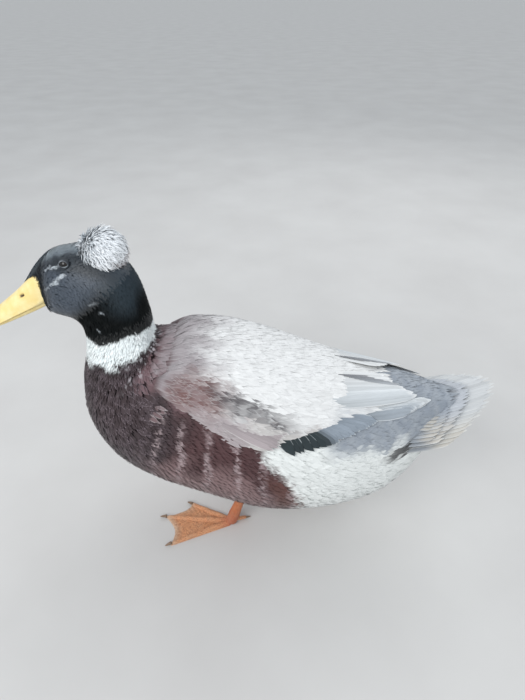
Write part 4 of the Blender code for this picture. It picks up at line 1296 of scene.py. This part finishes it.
for eye_name, eye_sign in (("eye_left", -1), ("eye_right", 1)):
    centre = EYE_PLACE * (1, eye_sign, 1)
    gaze = unit(np.array((-0.22, 0.86 * eye_sign, 0.42)))
    right = unit(np.cross(gaze, (0.0, 0.0, 1.0)))
    above = np.cross(right, gaze)
    ball, tilt, _ = ball_ways(EYE_ROWS, EYE_SIDES, right, above, gaze)
    bulge = 1 + 0.035 * np.exp(-((tilt / 0.5) ** 2))
    iris = paint(
        plain(IRIS, ball),
        (PUPIL, rise(0.50 - tilt, 0.0, 0.05)),
        (IRIS_EDGE, rise(tilt, 0.85, 1.0)),
    )
    tinted(
        eye_name + "_ball", centre + ball * (EYE_RADIUS * bulge)[..., None], iris, iris_finish,
        "eye_glass", eye_name,
    )

    around = np.linspace(0.0, math.tau, LID_SIDES + 1)[:-1]
    slit_x = LID_LENGTH * np.cos(around)
    slit_z = LID_HEIGHT * np.sin(around) * np.abs(np.sin(around)) ** 0.25 - LID_DROP
    lid_out = unit(LID_FACING * (1, eye_sign, 1))
    lid_along = unit(np.array((1.0, 0.0, 0.0)) - lid_out * lid_out[0])
    lid_up = np.cross(lid_out, lid_along) * -eye_sign
    lid_along, lid_up = (
        lid_along * math.cos(LID_TILT) + lid_up * math.sin(LID_TILT),
        lid_up * math.cos(LID_TILT) - lid_along * math.sin(LID_TILT),
    )
    lid_rings = []
    for rounded, grow, stand, sink in LID_RINGS:
        away_x = slit_x * grow * (1 - rounded) + LID_REACH * np.cos(around) * rounded
        away_z = slit_z * grow * (1 - rounded) + LID_REACH * np.sin(around) * rounded
        away = away_x**2 + away_z**2
        over_ball = np.sqrt(np.maximum((EYE_RADIUS + stand) ** 2 - away, 0.5))
        over_skin = LID_BED[0] - LID_BED[1] * away
        height = over_ball + (over_skin - over_ball) * sink
        lid_rings.append(
            centre + away_x[:, None] * lid_along + away_z[:, None] * lid_up
            + height[:, None] * lid_out
        )
    lid_points = np.stack(lid_rings)
    # The painted highlight of the rims, brightest toward LID_LIGHT round the slit.
    rim = np.array(LID_SHINE)[:, None] * (0.15 + 0.85 * np.cos(around - LID_LIGHT) ** 4)
    lid_tint = paint(plain(LID_SLATE, lid_points), (LID_RIM_HIGHLIGHT, rim))
    tinted(eye_name + "_lids", lid_points, lid_tint, lid_finish, "head_feathers")


# The legs and feet
# Bare scaly skin covers the shanks, the ankles and the three webbed toes of each foot. The
# small hind toe stands clear of the web. Each toe ends in a dark curved claw.
FEET = {
    "foot_left": {
        "ankle": (-36.0, -25.0), "outer": (-104.0, -56.0), "middle": (-115.0, -19.0),
        "inner": (-86.0, 0.0), "hallux": (-20.0, -20.0), "hock": (-14.0, -33.0, 84.0),
    },
    "foot_right": {
        "ankle": (62.0, 31.0), "outer": (-2.0, 68.0), "middle": (-16.0, 31.0),
        "inner": (10.0, 8.0), "hallux": (78.0, 26.0), "hock": (34.0, 38.0, 84.0),
    },
}
foot_finish = Finish("foot_skin", Roughness=0.55)
foot_where = foot_finish.place()
foot_cells = foot_finish.node(
    "ShaderNodeTexVoronoi", {"feature": "DISTANCE_TO_EDGE"}, {"Vector": foot_where, "Scale": 700.0}
)
foot_cloud = foot_finish.noise(foot_where, 120.0).rising(0.35, 0.75)
foot_colour = foot_finish.mix(foot_cloud * 0.35, foot_finish.layer("tint"), dye(196, 168, 140))
foot_finish.use(
    Base_Color=foot_finish.mix(1 - foot_cells.rising(0.0, 0.12), foot_colour, dye(150, 84, 52))
)
foot_finish.bump(foot_cells.rising(0.0, 0.25), 0.6, 0.0005)
claw_finish = Finish("claw_horn", Roughness=0.35)
claw_grain = claw_finish.noise(claw_finish.place(), 300.0)
claw_finish.use(Base_Color=claw_finish.mix(claw_grain, dye(92, 72, 56), dye(150, 122, 98)))
FOOT_ORANGE = dye(232, 170, 124)
FOOT_PALE = dye(218, 194, 168)
ANKLE_RED = dye(190, 100, 72)
SHANK_ORANGE = dye(206, 120, 74)
FAN_SIDES = 150
FAN_STEPS = 56
# The web's height, and the half width of a toe at the ankle, at its tip, and at its tip on a
# side without web
WEB_HEIGHT = 1.3
TOE_ROOT = 4.4
TOE_TIP = 2.6
TOE_SIDE_TIP = 2.3
# The angles through which the skin bends down to the ground on such a side
ROUNDING = [k * math.pi / 12 for k in range(1, 7)]
# Half width of the shank from just under the ankle up to the hock
SHANK = ((-0.04, 0.0, 0.15, 0.4, 0.65, 0.85, 1.0), (5.0, 6.4, 6.4, 5.1, 5.4, 8.5, 12.5))
ANKLE_HEIGHT = 4.5
# Height of the hind toe's root and tip, its half width at the root, and how much that narrows
HIND_TOE = (4.0, 2.2, 2.6, 0.8)
# How long a claw is, how much of that is within its toe, and its height at the root
CLAW_LENGTH = 8.0
CLAW_START = 1.2
CLAW_SIZES = {"outer": 2.3, "middle": 2.3, "inner": 2.3, "hallux": 1.8}


def foot_fan(foot):
    """The toes and the web as one thick skin, from the ankle out to its edge."""
    ankle = np.array(foot["ankle"])
    tips = np.array([foot[toe] for toe in ("outer", "middle", "inner")]) - ankle
    headings = np.unwrap(np.arctan2(tips[:, 1], tips[:, 0]))
    reaches = np.hypot(tips[:, 0], tips[:, 1])
    order = np.argsort(headings)
    headings, reaches = headings[order], reaches[order]
    turn = np.linspace(headings[0], headings[-1], FAN_SIDES)
    edge = np.interp(turn, headings, reaches)
    gap = np.zeros(FAN_SIDES)
    for low, high in zip(headings, headings[1:]):
        share = np.clip((turn - low) / (high - low), 0, 1)
        gap = gap + np.where((turn > low) & (turn < high), np.sin(math.pi * share) ** 0.8, 0.0)
    edge = edge * (1 - 0.13 * gap)
    part = np.linspace(0.0, 1.0, FAN_STEPS)[:, None]
    radius = edge[None] * part
    height = WEB_HEIGHT + 0.25 * np.sin(radius * 0.9 + 6 * np.sin(turn * 9)[None]) * part
    for heading, reach in zip(headings, reaches):
        away = radius * np.abs(np.sin(turn - heading))[None]
        wide = TOE_ROOT + (TOE_TIP - TOE_ROOT) * np.clip(radius / reach, 0, 1)
        joints = 1 + 0.10 * np.cos(radius / reach * math.tau * 3)
        scutes = 0.14 * np.abs(np.sin(radius * 1.5))
        tall = wide * 1.25 * joints * np.sqrt(np.maximum(0.0, 1 - (away / wide) ** 2)) - scutes
        height = np.maximum(height, tall)
    upper = np.stack((
        ankle[0] + radius * np.cos(turn), ankle[1] + radius * np.sin(turn), height
    ), axis=-1)
    for end, way in ((0, -1), (-1, 1)):
        swell = np.clip(part * edge[end] / 4.0, 0, 1)
        wide = (TOE_ROOT + (TOE_SIDE_TIP - TOE_ROOT) * part) * swell
        aside = np.array((-math.sin(turn[end]) * way, math.cos(turn[end]) * way, 0.0))
        rim = upper[:, end]
        rounded = np.stack([
            rim * (1, 1, math.cos(angle)) + aside * wide * math.sin(angle) for angle in ROUNDING
        ], axis=1)
        sheets = (rounded[:, ::-1], upper) if end == 0 else (upper, rounded)
        upper = np.concatenate(sheets, axis=1)
    upper[..., 2] *= 1 - 0.85 * rise(part, 0.97, 1.0)
    lower = upper * (1, 1, 0)
    tint = paint(
        plain(FOOT_ORANGE, upper),
        (FOOT_PALE, 0.8 * rise(part, 0.86, 1.0)),
        (ANKLE_RED, 0.8 * rise(0.30 - part, 0.0, 0.30)),
    )
    # The sole takes the same tint darkened by a fifth, as painted shade under the foot.
    return np.concatenate((upper, lower[::-1])), np.concatenate((tint, tint[::-1] * 0.8))


def tube(path, radii, sides=28):
    """A closed tube along a path of points, with a radius at each."""
    along = unit(np.gradient(path, axis=0))
    side = unit(np.cross(along, (0.0, 1.0, 0.001)))
    other = np.cross(along, side)
    turn = np.linspace(0, math.tau, sides + 1)[:-1, None]
    ring = side[:, None] * np.cos(turn) + other[:, None] * np.sin(turn)
    return capped(path[:, None] + ring * radii[:, None, None])


for foot_name, foot in FEET.items():
    fan, fan_tint = foot_fan(foot)
    tinted(foot_name + "_skin", fan, fan_tint, foot_finish, "foot_skin", foot_name, closed=False)

    ankle = np.array((*foot["ankle"], ANKLE_HEIGHT))
    hock = np.array(foot["hock"])
    share = np.linspace(-0.04, 1.0, 60)
    radii = np.interp(share, *SHANK) + 0.18 * np.abs(np.sin(share * 75))
    leg = tube(ankle + (hock - ankle) * share[:, None], radii)
    leg_tint = paint(plain(ANKLE_RED, leg), (SHANK_ORANGE, np.clip((leg[..., 2] - 4) / 30, 0, 1)))
    tinted(
        foot_name + "_shank", leg, leg_tint, foot_finish, "foot_skin",
        foot_name.replace("foot", "leg"),
    )

    start = np.array((*foot["ankle"], HIND_TOE[0]))
    end = np.array((*foot["hallux"], HIND_TOE[1]))
    share = np.linspace(0, 1, 20)
    radii = HIND_TOE[2] - HIND_TOE[3] * share + 0.15 * np.cos(share * 30)
    toe = tube(start + (end - start) * share[:, None], radii, 20)
    tinted(foot_name + "_hind_toe", toe, plain(FOOT_ORANGE, toe), foot_finish, "foot_skin")

    for toe_name, size in CLAW_SIZES.items():
        tip = np.array((*foot[toe_name], 0.0))
        root = np.array((*foot["ankle"], 0.0))
        share = np.linspace(0, 1, 14)
        path = tip + unit(tip - root) * (share * CLAW_LENGTH - CLAW_START)[:, None]
        path[:, 2] = size * (1.0 - 0.6 * share**2)
        claw = tube(path, size * 0.86 * (1 - share) ** 0.6 + 0.05, 20)
        claw_name = f"{foot_name}_{toe_name}_horn"
        claw_mesh, _ = grid_mesh(claw_name, claw[None], closed=True)
        show(
            claw_mesh, claw_name, claw_finish.material, "claw_horn",
            f"{foot_name}_claw_{toe_name}",
        )
